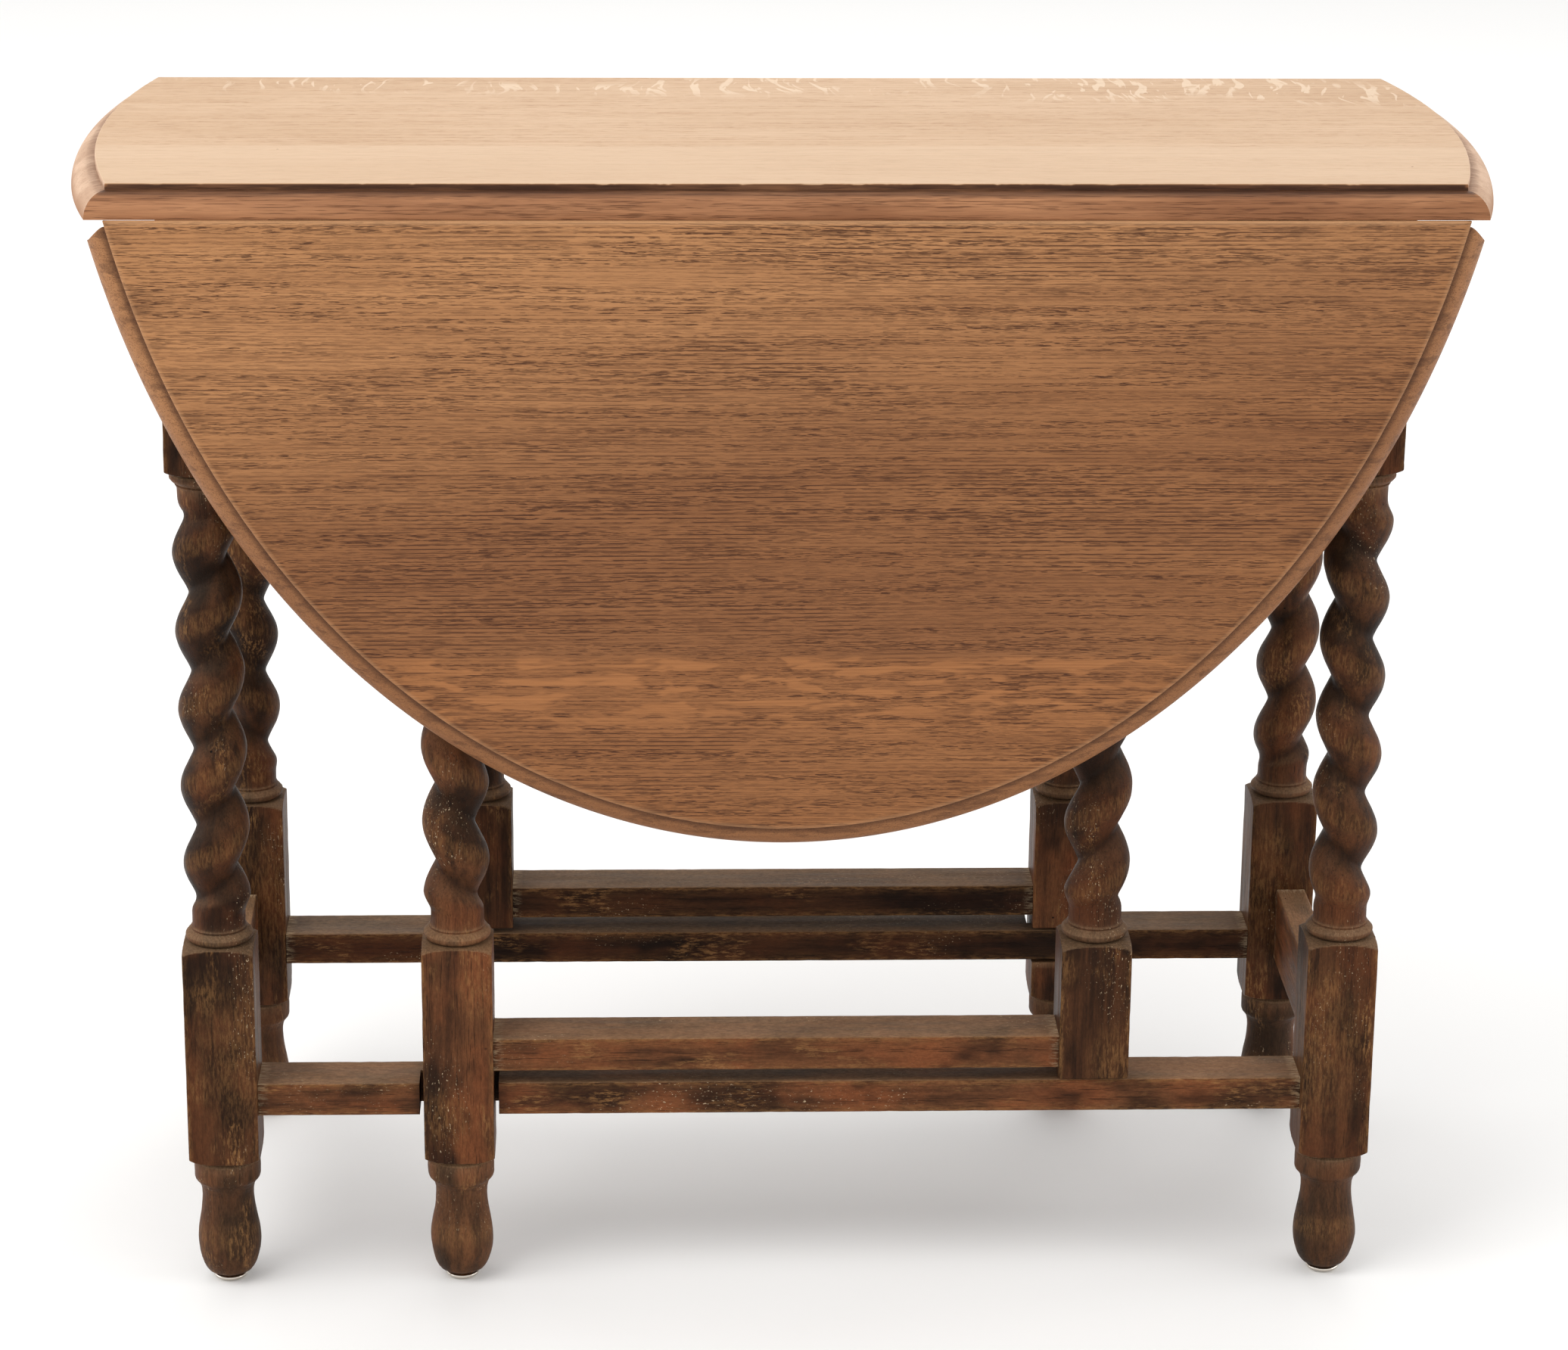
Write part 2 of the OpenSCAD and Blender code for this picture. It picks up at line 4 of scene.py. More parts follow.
import bpy
import numpy as np
from mathutils import Matrix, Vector
from mathutils.kdtree import KDTree


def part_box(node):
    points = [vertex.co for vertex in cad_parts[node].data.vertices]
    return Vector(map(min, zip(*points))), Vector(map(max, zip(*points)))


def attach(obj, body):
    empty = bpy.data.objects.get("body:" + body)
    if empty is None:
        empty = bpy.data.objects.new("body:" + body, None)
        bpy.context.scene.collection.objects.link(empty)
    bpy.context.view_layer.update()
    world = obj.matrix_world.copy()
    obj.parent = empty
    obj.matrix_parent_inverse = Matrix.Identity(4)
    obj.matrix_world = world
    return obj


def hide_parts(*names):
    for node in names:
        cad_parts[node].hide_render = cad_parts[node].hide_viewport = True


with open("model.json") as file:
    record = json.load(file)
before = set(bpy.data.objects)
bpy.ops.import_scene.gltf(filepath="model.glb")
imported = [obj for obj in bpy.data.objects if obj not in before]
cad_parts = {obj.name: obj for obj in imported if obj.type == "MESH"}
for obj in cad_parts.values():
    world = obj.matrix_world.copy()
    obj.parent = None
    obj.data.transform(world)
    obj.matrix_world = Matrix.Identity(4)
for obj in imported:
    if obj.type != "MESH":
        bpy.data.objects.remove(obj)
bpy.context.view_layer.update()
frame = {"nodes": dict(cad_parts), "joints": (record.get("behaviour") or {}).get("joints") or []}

# ---------------------------------------------------------------- sizes, in metres
MM = 0.001
board_lo, board_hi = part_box("top_board")
leaf_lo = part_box("leaf_front")[0]
leg_lo, leg_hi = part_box("leg_front_left")
hinge_y = next(abs(j["pos_m"][1]) for j in frame["joints"] if j["name"] == "leaf_front_lift")
under_z = board_lo.z
half_len = board_hi.x
rule_r = board_hi.y - hinge_y
half_wid = hinge_y + under_z - leaf_lo.z
rule_gap, lip_gap = 0.5 * MM, 0.06 * MM
leg_s = leg_hi.x - leg_lo.x
leg_x, leg_y = abs(leg_hi.x + leg_lo.x) / 2, abs(leg_hi.y + leg_lo.y) / 2
gate_x, pivot_x = 207.5 * MM, 201 * MM
tenon = 15 * MM
notch_depth = {"stretcher": 21 * MM, "apron": 10 * MM}
sliver = 0.02 * MM
line_gap = 2.6 * MM
arc_points, line_points = 420, 240
foot_z, block_top, upper_z = 95 * MM, 231 * MM, 556 * MM
shoulder_h, bead_h, bead_r = 7 * MM, 8 * MM, 21.5 * MM
neck_r, neck_h, groove_r = 17 * MM, 14 * MM, 18 * MM
twist_pitch, twist_r, twist_core, twist_power = 51.5 * MM, 21.2 * MM, 12 * MM, 1.3
glide_h = 6 * MM
hinge_x, hinge_half, short_flap, long_flap = 287 * MM, 24.4 * MM, 27.4 * MM, 50.4 * MM
flap_t, barrel_r, below = 2.05 * MM, 3.6 * MM, 2 * MM


def smooth(lo, hi, x):
    t = np.clip((np.asarray(x, float) - lo) / (hi - lo), 0, 1)
    return t * t * (3 - 2 * t)


def wobble(p, wave, seed):
    """Smooth noise of about -1 to 1 with about the given wavelength, at the rows of p."""
    rng = np.random.default_rng(seed)
    total = np.zeros(len(p))
    for _ in range(8):
        d = rng.normal(size=3)
        d *= 2 * math.pi / (np.linalg.norm(d) * wave * rng.uniform(0.7, 1.6))
        total += np.sin(p @ d + rng.uniform(0, 2 * math.pi))
    return total / 4


# ---------------------------------------------------------------- mesh helpers
def loft_faces(rings, n):
    """Quads between successive rings of n points, with a cap on each end."""
    i, j = np.meshgrid(np.arange(rings - 1), np.arange(n), indexing="ij")
    k = (j + 1) % n
    quads = np.stack([i * n + j, i * n + k, (i + 1) * n + k, (i + 1) * n + j], -1).reshape(-1, 4)
    first, last = list(range(n))[::-1], list(range((rings - 1) * n, rings * n))
    return quads.tolist() + [first, last]


def box_solid(x0, x1, y0, y1, z0, z1):
    verts = [(x, y, z) for x in (x0, x1) for y in (y0, y1) for z in (z0, z1)]
    return verts, [(0, 1, 3, 2), (4, 6, 7, 5), (0, 4, 5, 1), (2, 3, 7, 6), (0, 2, 6, 4), (1, 5, 7, 3)]


def rod_solid(x0, x1, y, z, r, n=32):
    a = np.linspace(0, 2 * math.pi, n, endpoint=False)
    verts = [(x, y + r * math.cos(k), z + r * math.sin(k)) for x in (x0, x1) for k in a]
    return verts, [f[::-1] for f in loft_faces(2, n)]


def carve(obj, rounds, mat_index):
    """Cuts solids out of a piece; the cut faces get a material of the piece."""
    for solids in rounds:
        verts, faces = [], []
        for v, f in solids:
            faces += [[i + len(verts) for i in face] for face in f]
            verts += v
        mesh = bpy.data.meshes.new("cutter")
        mesh.from_pydata(verts, [], faces)
        mesh.polygons.foreach_set("material_index", np.full(len(faces), mat_index, np.int32))
        cutter = bpy.data.objects.new("cutter", mesh)
        bpy.context.scene.collection.objects.link(cutter)
        cut = obj.modifiers.new("cut", "BOOLEAN")
        cut.operation, cut.solver, cut.object = "DIFFERENCE", "EXACT", cutter
        bpy.context.view_layer.update()
        done = bpy.data.meshes.new_from_object(obj.evaluated_get(bpy.context.evaluated_depsgraph_get()))
        obj.modifiers.clear()
        obj.data = done
        bpy.data.objects.remove(cutter)


def carried(old, fields, mesh, grain_of):
    """Fields for a carved mesh: those of the nearest old vertex, with the grain worked out anew where it is new."""
    tree = KDTree(len(old))
    for i, p in enumerate(old):
        tree.insert(p, i)
    tree.balance()
    new = np.empty(len(mesh.vertices) * 3, np.float32)
    mesh.vertices.foreach_get("co", new)
    new = new.reshape(-1, 3)
    hits = [tree.find(p) for p in new]
    near, far = np.array([h[1] for h in hits]), np.array([h[2] for h in hits]) > 0.001 * MM
    out = {key: np.array(values)[near] for key, values in fields.items()}
    out["gco"][far] = grain_of(new[far])
    return out


def make_piece(name, verts, faces, materials, body, node, fields, angle=35, face_mats=None, carving=None):
    """A mesh piece that rides on a body and replaces a CAD node; fields are named values for each vertex."""
    mesh = bpy.data.meshes.new(name)
    mesh.from_pydata(np.asarray(verts).tolist(), [], faces)
    for m in materials:
        mesh.materials.append(m)
    if face_mats is not None:
        mesh.polygons.foreach_set("material_index", np.asarray(face_mats, np.int32))
    obj = bpy.data.objects.new(name, mesh)
    bpy.context.scene.collection.objects.link(obj)
    if carving:
        rounds, mat_index, grain_of = carving
        carve(obj, rounds, mat_index)
        mesh = obj.data
        fields = carried(verts, fields, mesh, grain_of)
    for key, values in fields.items():
        values = np.ascontiguousarray(values, np.float32)
        if values.ndim == 2:
            mesh.attributes.new(key, "FLOAT_VECTOR", "POINT").data.foreach_set("vector", values.ravel())
        else:
            mesh.attributes.new(key, "FLOAT", "POINT").data.foreach_set("value", values)
    mesh.shade_smooth()
    mesh.set_sharp_from_angle(angle=math.radians(angle))
    mesh.update()
    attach(obj, body)
    if node:
        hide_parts(node)
    return obj


def up_share(verts, faces):
    """How far each vertex's surface faces up, 0 to 1, from the quads round it."""
    v = np.asarray(verts)
    q = np.array([f for f in faces if len(f) == 4])
    n = np.cross(v[q[:, 2]] - v[q[:, 0]], v[q[:, 3]] - v[q[:, 1]])
    total = np.zeros_like(v)
    for c in range(4):
        np.add.at(total, q[:, c], n)
    length = np.linalg.norm(total, axis=1)
    return np.clip(total[:, 2] / np.maximum(length, 1e-12), 0, 1)


# ---------------------------------------------------------------- material helpers
class Graph:
    """A material's node tree with short calls."""

    def __init__(self, name, gloss=0.5):
        self.mat = bpy.data.materials.new(name)
        self.mat.use_nodes = True
        self.tree = self.mat.node_tree
        self.tree.nodes.clear()
        self.shader = self.tree.nodes.new("ShaderNodeBsdfPrincipled")
        out = self.tree.nodes.new("ShaderNodeOutputMaterial")
        self.tree.links.new(self.shader.outputs[0], out.inputs[0])
        self.shader.inputs["Specular IOR Level"].default_value = gloss

    def node(self, kind, **props):
        n = self.tree.nodes.new(kind)
        for k, v in props.items():
            setattr(n, k, v)
        return n

    def put(self, socket, value):
        if isinstance(value, bpy.types.NodeSocket):
            self.tree.links.new(value, socket)
        else:
            socket.default_value = value

    def attr(self, name, vector=False):
        n = self.node("ShaderNodeAttribute", attribute_name=name)
        return n.outputs["Vector" if vector else "Fac"]

    def scaled(self, vec, scale, shift=(0, 0, 0), turn=(0, 0, 0)):
        n = self.node("ShaderNodeMapping")
        self.put(n.inputs["Vector"], vec)
        n.inputs["Scale"].default_value = scale
        n.inputs["Location"].default_value = shift
        n.inputs["Rotation"].default_value = turn
        return n.outputs[0]

    def noise(self, vec, detail=2.0, rough=0.5, warp=0.0, scale=1.0):
        n = self.node("ShaderNodeTexNoise")
        self.put(n.inputs["Vector"], vec)
        n.inputs["Scale"].default_value = scale
        n.inputs["Detail"].default_value = detail
        n.inputs["Roughness"].default_value = rough
        n.inputs["Distortion"].default_value = warp
        return n.outputs["Fac"]

    def cells(self, vec, scale):
        n = self.node("ShaderNodeTexVoronoi")
        self.put(n.inputs["Vector"], vec)
        n.inputs["Scale"].default_value = scale
        return n.outputs["Distance"], n.outputs["Color"]

    def math(self, op, a, b=0.0, clamp=False):
        n = self.node("ShaderNodeMath", operation=op, use_clamp=clamp)
        self.put(n.inputs[0], a)
        self.put(n.inputs[1], b)
        return n.outputs[0]

    def span(self, x, lo, hi, to_lo=0.0, to_hi=1.0):
        n = self.node("ShaderNodeMapRange", interpolation_type="SMOOTHSTEP")
        self.put(n.inputs[0], x)
        for i, v in enumerate((lo, hi, to_lo, to_hi)):
            n.inputs[i + 1].default_value = v
        return n.outputs[0]

    def mix(self, fac, a, b, blend="MIX"):
        n = self.node("ShaderNodeMix", data_type="RGBA", blend_type=blend)
        self.put(n.inputs[0], fac)
        self.put(n.inputs[6], a)
        self.put(n.inputs[7], b)
        return n.outputs[2]

    def parts(self, vec):
        n = self.node("ShaderNodeSeparateXYZ")
        self.put(n.inputs[0], vec)
        return n.outputs

    def joined(self, x, y, z):
        n = self.node("ShaderNodeCombineXYZ")
        for i, v in enumerate((x, y, z)):
            self.put(n.inputs[i], v)
        return n.outputs[0]

    def gain(self, color, fac):
        """A colour times a grey factor."""
        return self.mix(1.0, color, self.joined(fac, fac, fac), "MULTIPLY")

    def bump(self, height, depth, strength=1.0):
        n = self.node("ShaderNodeBump")
        n.inputs["Distance"].default_value = depth
        n.inputs["Strength"].default_value = strength
        self.put(n.inputs["Height"], height)
        self.tree.links.new(n.outputs[0], self.shader.inputs["Normal"])


def srgb(r, g, b):
    """Linear colour from 0 to 255 display values."""
    lin = [c / 255 / 12.92 if c <= 10 else ((c / 255 + 0.055) / 1.055) ** 2.4 for c in (r, g, b)]
    return (*lin, 1.0)


def grain(g, co, ring=420.0, pore=(55.0, 1500.0), wander=0.010):
    """Warped grain coordinates and the fields of the oak: growth bands, pores and fibre."""
    wave = g.noise(g.scaled(co, (1.6, 7, 7)), detail=1)
    x, y, z = g.parts(co)
    y = g.math("ADD", y, g.math("MULTIPLY", g.math("SUBTRACT", wave, 0.5), wander))
    co = g.joined(x, y, z)
    band = g.noise(g.scaled(co, (3.5, ring, ring)), detail=2)
    pores = g.noise(g.scaled(co, (pore[0], pore[1], pore[1])), detail=1)
    fibre = g.noise(g.scaled(co, (40, 2400, 2400)), detail=2, rough=0.6)
    return co, band, pores, fibre


def top_oak():
    g = Graph("oak_top", 0.2)
    co = g.attr("gco", True)
    x, y, z = g.parts(co)
    _, band, pores, fibre = grain(g, co, ring=640, pore=(120, 2300), wander=0.006)
    patch = g.noise(g.scaled(co, (2.2, 10, 14)), detail=4, rough=0.6)
    mottle = g.noise(g.scaled(co, (45, 190, 190)), detail=4, rough=0.7)
    color = g.mix(g.span(patch, 0.34, 0.68), srgb(202, 170, 138), srgb(192, 158, 124))
    color = g.mix(g.span(band, 0.42, 0.66, 0, 0.30), color, srgb(178, 136, 100))
    color = g.mix(g.span(mottle, 0.48, 0.68, 0, 0.34), color, srgb(176, 136, 100))
    # the front board is paler and plainer
    front = g.span(y, -0.050, -0.062)
    color = g.mix(g.math("MULTIPLY", front, 0.45), color, srgb(206, 177, 147))
    spots = g.math("MULTIPLY", g.span(pores, 0.58, 0.70), g.span(band, 0.42, 0.60))
    spots = g.math("MULTIPLY", spots, g.math("SUBTRACT", 1.0, g.math("MULTIPLY", front, 0.5)))
    color = g.mix(g.math("MULTIPLY", spots, 0.62), color, srgb(146, 104, 70))
    # ray flecks along the back, more of them to the right
    bend = g.noise(g.scaled(co, (18, 18, 18)), detail=1)
    rays = g.joined(g.math("ADD", x, g.math("MULTIPLY", bend, 0.03)), y, z)
    rays = g.span(g.noise(g.scaled(rays, (125, 24, 40), turn=(0, 0, 0.5)), detail=2, warp=0.8), 0.555, 0.62)
    start = g.math("SUBTRACT", y, g.math("MULTIPLY", x, -0.06))
    zone = g.math("MULTIPLY", g.span(start, 0.085, 0.125), g.span(g.noise(g.scaled(co, (7, 9, 9))), 0.40, 0.52))
    rays = g.math("MULTIPLY", rays, zone)
    color = g.mix(g.math("MULTIPLY", rays, 0.55), color, srgb(228, 206, 180))
    color = g.gain(color, g.span(fibre, 0.3, 0.7, 0.92, 1.06))
    dots, shade = g.cells(co, 26)
    holes = g.math("MULTIPLY", g.span(dots, 0.026, 0.014), g.span(g.parts(shade)[0], 0.84, 0.86))
    color = g.mix(holes, color, srgb(120, 80, 50))
    color = g.mix(g.math("MULTIPLY", g.attr("wear"), 0.25), color, srgb(226, 202, 174))
    g.put(g.shader.inputs["Base Color"], color)
    g.put(g.shader.inputs["Roughness"], g.span(spots, 0, 1, 0.58, 0.74))
    height = g.math("SUBTRACT", g.math("MULTIPLY", fibre, 0.25), g.math("MULTIPLY", spots, 0.8))
    g.bump(height, 0.00022, 0.6)
    return g.mat


def edge_oak():
    """The stained long edges of the top with the dirty quirk."""
    g = Graph("oak_top_edge", 0.2)
    co = g.attr("gco", True)
    _, band, pores, fibre = grain(g, co, ring=520, pore=(60, 1900))
    patch = g.noise(g.scaled(co, (5, 40, 40)), detail=4, rough=0.6)
    color = g.mix(g.span(patch, 0.36, 0.66), srgb(166, 116, 80), srgb(132, 86, 56))
    spots = g.math("MULTIPLY", g.span(pores, 0.54, 0.66), g.span(band, 0.40, 0.58))
    color = g.mix(g.math("MULTIPLY", spots, 0.8), color, srgb(84, 48, 28))
    color = g.mix(g.span(band, 0.50, 0.68, 0, 0.45), color, srgb(112, 70, 42))
    color = g.gain(color, g.span(fibre, 0.3, 0.7, 0.88, 1.08))
    smudge = g.noise(g.scaled(co, (9, 150, 150)), detail=4, rough=0.7)
    dirt = g.math("MULTIPLY", g.attr("dirt"), g.span(smudge, 0.30, 0.58, 0.50, 1.0))
    color = g.mix(g.math("MULTIPLY", dirt, 0.95), color, srgb(58, 33, 20))
    color = g.mix(g.math("MULTIPLY", g.attr("wear"), 0.4), color, srgb(190, 146, 106))
    g.put(g.shader.inputs["Base Color"], color)
    g.shader.inputs["Roughness"].default_value = 0.52
    g.bump(g.math("SUBTRACT", g.math("MULTIPLY", fibre, 0.3), spots), 0.00025, 0.7)
    return g.mat


def end_oak():
    """End grain on the mouldings of the top's curved ends."""
    g = Graph("oak_top_end", 0.2)
    co = g.attr("gco", True)
    rings = g.noise(g.scaled(co, (60, 260, 420)), detail=3, rough=0.6)
    dots = g.noise(g.scaled(co, (900, 1100, 1500)), detail=1)
    patch = g.noise(g.scaled(co, (30, 30, 60)), detail=2)
    color = g.mix(g.span(patch, 0.35, 0.65), srgb(204, 172, 146), srgb(184, 150, 124))
    color = g.mix(g.span(rings, 0.5, 0.68, 0, 0.3), color, srgb(160, 122, 96))
    color = g.mix(g.span(dots, 0.60, 0.72, 0, 0.5), color, srgb(124, 96, 80))
    color = g.mix(g.math("MULTIPLY", g.attr("low"), 0.85), color, srgb(146, 102, 70))
    dirt = g.math("MULTIPLY", g.attr("dirt"), g.span(rings, 0.3, 0.6, 0.4, 1.0))
    color = g.mix(g.math("MULTIPLY", dirt, 0.6), color, srgb(112, 76, 50))
    g.put(g.shader.inputs["Base Color"], color)
    g.shader.inputs["Roughness"].default_value = 0.66
    g.bump(g.math("ADD", g.math("MULTIPLY", dots, -0.6), g.math("MULTIPLY", rings, 0.4)), 0.0003, 0.6)
    return g.mat


def leaf_oak(name="oak_leaf", rim=False):
    g = Graph(name, 0.2)
    co = g.attr("gco", True)
    x, y, _ = g.parts(co)
    wco, band, pores, fibre = grain(g, co, ring=860, pore=(135, 2700), wander=0.016)
    patch = g.noise(g.scaled(co, (2.0, 6, 6)), detail=4, rough=0.5)
    broad = g.noise(g.scaled(co, (5, 60, 60)), detail=3, rough=0.5)
    color = g.mix(g.span(patch, 0.34, 0.66), srgb(150, 101, 62), srgb(132, 86, 52))
    color = g.mix(g.span(broad, 0.40, 0.66, 0, 0.4), color, srgb(120, 76, 44))
    # paler towards the hinge and the left, in broad patches: painted light from the upper left
    lit_gradient = g.math("ADD", y, g.math("MULTIPLY", x, -0.14))
    lit_gradient = g.math("MULTIPLY", g.span(lit_gradient, -0.36, -0.16), g.span(broad, 0.30, 0.62, 1.0, 0.72))
    color = g.mix(g.math("MULTIPLY", lit_gradient, 0.9), color, srgb(180, 129, 85))
    last = g.span(y, -0.438, -0.440)
    color = g.mix(g.math("MULTIPLY", last, 0.28), color, srgb(154, 100, 58))
    groups = g.span(g.noise(g.scaled(wco, (9, 150, 150)), detail=2), 0.36, 0.60)
    spots = g.math("MULTIPLY", g.span(pores, 0.535, 0.595), g.span(band, 0.36, 0.50))
    spots = g.math("MULTIPLY", spots, g.span(groups, 0, 1, 0.40, 0.95))
    # growth lines: rows of fine dashes that follow the warped grain
    row = g.math("SINE", g.math("MULTIPLY", g.parts(wco)[1], 2 * math.pi / line_gap))
    dash = g.span(g.noise(g.scaled(wco, (75, 900, 900), (3, 1, 4)), detail=1), 0.40, 0.54)
    lines = g.math("MULTIPLY", g.span(row, 0.35, 0.95), dash)
    where = g.span(g.noise(g.scaled(co, (4, 16, 16), (1, 7, 2)), detail=2), 0.38, 0.60, 0.25, 0.95)
    spots = g.math("MAXIMUM", spots, g.math("MULTIPLY", lines, where))
    if rim:
        speck = g.noise(g.scaled(co, (1500, 1700, 1700)), detail=1)
        spots = g.span(speck, 0.56, 0.70, 0, 0.6)
        color = g.mix(0.5, color, srgb(142, 98, 64))
    else:
        # slanting rays in the lowest board, which hold no pores
        tilt = g.scaled(co, (26, 150, 60), turn=(0, 0, math.radians(-25)))
        rays = g.span(g.noise(tilt, detail=2, warp=0.4), 0.50, 0.58)
        rays = g.math("MULTIPLY", rays, g.span(y, -0.437, -0.441))
        rays = g.math("MULTIPLY", rays, g.span(y, -0.505, -0.465))
        rays = g.math("MULTIPLY", rays, g.span(g.math("ABSOLUTE", x), 0.30, 0.20))
        spots = g.math("MULTIPLY", spots, g.math("SUBTRACT", 1.0, g.math("MULTIPLY", rays, 0.85)))
        color = g.mix(g.math("MULTIPLY", rays, 0.5), color, srgb(172, 114, 68))
    color = g.mix(g.math("MULTIPLY", g.span(band, 0.44, 0.64), 0.28), color, srgb(112, 68, 39))
    color = g.mix(g.math("MULTIPLY", spots, 0.92), color, srgb(62, 32, 18))
    color = g.gain(color, g.span(fibre, 0.3, 0.7, 0.90, 1.07))
    # grime near the moulded rim and near the hinge edge
    rr = g.math("ADD", g.math("POWER", g.math("DIVIDE", x, half_len - 0.015), 2.0),
                g.math("POWER", g.math("DIVIDE", y, half_wid - 0.015), 2.0))
    grime = g.noise(g.scaled(co, (22, 110, 110)), detail=5, rough=0.75)
    near = g.math("MULTIPLY", g.span(rr, 0.90, 0.995), g.span(grime, 0.50, 0.62))
    high = g.math("MULTIPLY", g.span(y, -0.26, -0.18), g.span(grime, 0.54, 0.66))
    high = g.math("MULTIPLY", high, g.span(x, -0.10, 0.25, 0.35, 1.0))
    color = g.mix(g.math("MULTIPLY", g.math("MAXIMUM", near, high), 0.5), color, srgb(74, 44, 26))
    color = g.mix(g.math("MULTIPLY", g.attr("dirt"), 0.75), color, srgb(74, 44, 27))
    color = g.mix(g.math("MULTIPLY", g.attr("wear"), 0.7), color, srgb(186, 140, 100))
    g.put(g.shader.inputs["Base Color"], color)
    g.put(g.shader.inputs["Roughness"], g.span(spots, 0, 1, 0.50, 0.66))
    g.bump(g.math("SUBTRACT", g.math("MULTIPLY", fibre, 0.25), spots), 0.00028, 0.7)
    return g.mat


def frame_oak(name, red=0.0, fleck=0.0, lift=1.0, bloom=(124, 98, 74)):
    """Dark stained oak of the frame, worn on its edges, dusty where it faces up."""
    g = Graph(name, 0.07)
    co = g.attr("gco", True)
    _, band, pores, _ = grain(g, co, ring=420, pore=(70, 1900), wander=0.006)
    streak = g.noise(g.scaled(co, (9, 110, 110)), detail=5, rough=0.65)
    cloud = g.noise(g.scaled(co, (14, 26, 26), (3, 1, 7)), detail=4, rough=0.6)
    fine = g.noise(g.scaled(co, (260, 700, 700)), detail=4, rough=0.75)
    color = g.mix(g.span(streak, 0.34, 0.64), srgb(46, 28, 17), srgb(82, 51, 31))
    color = g.mix(g.span(cloud, 0.42, 0.66, red * 0.5, 0.55 + red), color, srgb(100, 56, 32))
    dark = g.noise(g.scaled(co, (11, 20, 20), (7, 8, 3)), detail=3, rough=0.6)
    color = g.mix(g.span(dark, 0.47, 0.62, 0, 0.80), color, srgb(22, 13, 8))
    color = g.gain(color, lift)
    spots = g.math("MULTIPLY", g.span(pores, 0.56, 0.68), g.span(band, 0.42, 0.60))
    color = g.mix(g.math("MULTIPLY", spots, 0.6), color, srgb(26, 15, 9))
    # rubbed places, down to the paler wood; on the fixed legs the wear attribute also holds a painted light patch on
    # each inner side face
    place = g.noise(g.scaled(co, (17, 40, 40), (9, 2, 4)), detail=3, rough=0.6)
    scuff = g.noise(g.scaled(co, (120, 620, 620), (1, 5, 2)), detail=4, rough=0.75)
    rub = g.math("MULTIPLY", g.span(place, 0.53, 0.68), g.span(scuff, 0.47, 0.62))
    edge = g.math("MULTIPLY", g.attr("wear"), g.span(scuff, 0.42, 0.60, 0.10, 1.0))
    rub = g.math("MAXIMUM", rub, edge)
    color = g.mix(g.math("MULTIPLY", rub, 0.58), color, srgb(142, 102, 62))
    # old finish left in the hollows, dust on what faces up
    color = g.mix(g.math("MULTIPLY", g.attr("dirt"), 0.75), color, srgb(28, 18, 11))
    dust = g.math("MULTIPLY", g.attr("dust"), g.span(cloud, 0.30, 0.62, 0.60, 1.0))
    dust = g.math("MULTIPLY", dust, g.span(fine, 0.30, 0.66, 0.75, 1.0))
    color = g.mix(g.math("MULTIPLY", dust, 0.85), color, srgb(*bloom))
    white = g.noise(g.scaled(co, (420, 900, 900), (2, 2, 9)), detail=2, rough=0.6)
    spot = g.span(g.noise(g.scaled(co, (12, 24, 24), (5, 9, 1)), detail=2), 0.56 - fleck, 0.66 - fleck)
    white = g.math("MULTIPLY", g.span(white, 0.64, 0.71), spot)
    white = g.math("MAXIMUM", white, g.math("MULTIPLY", g.attr("glue"), g.span(scuff, 0.46, 0.58)))
    color = g.mix(g.math("MULTIPLY", white, 0.7), color, srgb(194, 172, 140))
    dots, shade = g.cells(g.scaled(co, (1, 1, 1), (4, 5, 6)), 52)
    holes = g.math("MULTIPLY", g.span(dots, 0.050, 0.030), g.span(g.parts(shade)[0], 0.84, 0.86))
    color = g.mix(holes, color, srgb(14, 9, 7))
    color = g.gain(color, g.span(fine, 0.3, 0.7, 0.80, 1.16))
    g.put(g.shader.inputs["Base Color"], color)
    rough = g.math("ADD", g.span(streak, 0.3, 0.7, 0.38, 0.56), g.math("MULTIPLY", dust, 0.25))
    g.put(g.shader.inputs["Roughness"], rough)
    height = g.math("SUBTRACT", g.math("MULTIPLY", fine, 0.4), g.math("ADD", spots, g.math("MULTIPLY", holes, 3)))
    g.bump(height, 0.00030, 0.75)
    return g.mat


def raw_oak(name, along):
    """Unfinished oak for the hidden blocks, from the object's own coordinates."""
    g = Graph(name, 0.25)
    tex = g.node("ShaderNodeTexCoord").outputs["Object"]
    turn = {"x": (0, 0, 0), "z": (0, math.pi / 2, 0)}[along]
    co = g.scaled(tex, (1, 1, 1), turn=turn)
    _, band, pores, fibre = grain(g, co, ring=300)
    patch = g.noise(g.scaled(co, (12, 40, 40)), detail=3)
    color = g.mix(g.span(patch, 0.35, 0.65), srgb(170, 130, 92), srgb(138, 100, 66))
    spots = g.math("MULTIPLY", g.span(pores, 0.54, 0.70), g.span(band, 0.4, 0.6))
    color = g.mix(g.math("MULTIPLY", spots, 0.7), color, srgb(88, 58, 36))
    color = g.gain(color, g.span(fibre, 0.3, 0.7, 0.9, 1.06))
    g.put(g.shader.inputs["Base Color"], color)
    g.shader.inputs["Roughness"].default_value = 0.66
    g.bump(g.math("SUBTRACT", g.math("MULTIPLY", fibre, 0.3), spots), 0.0003, 0.8)
    return g.mat


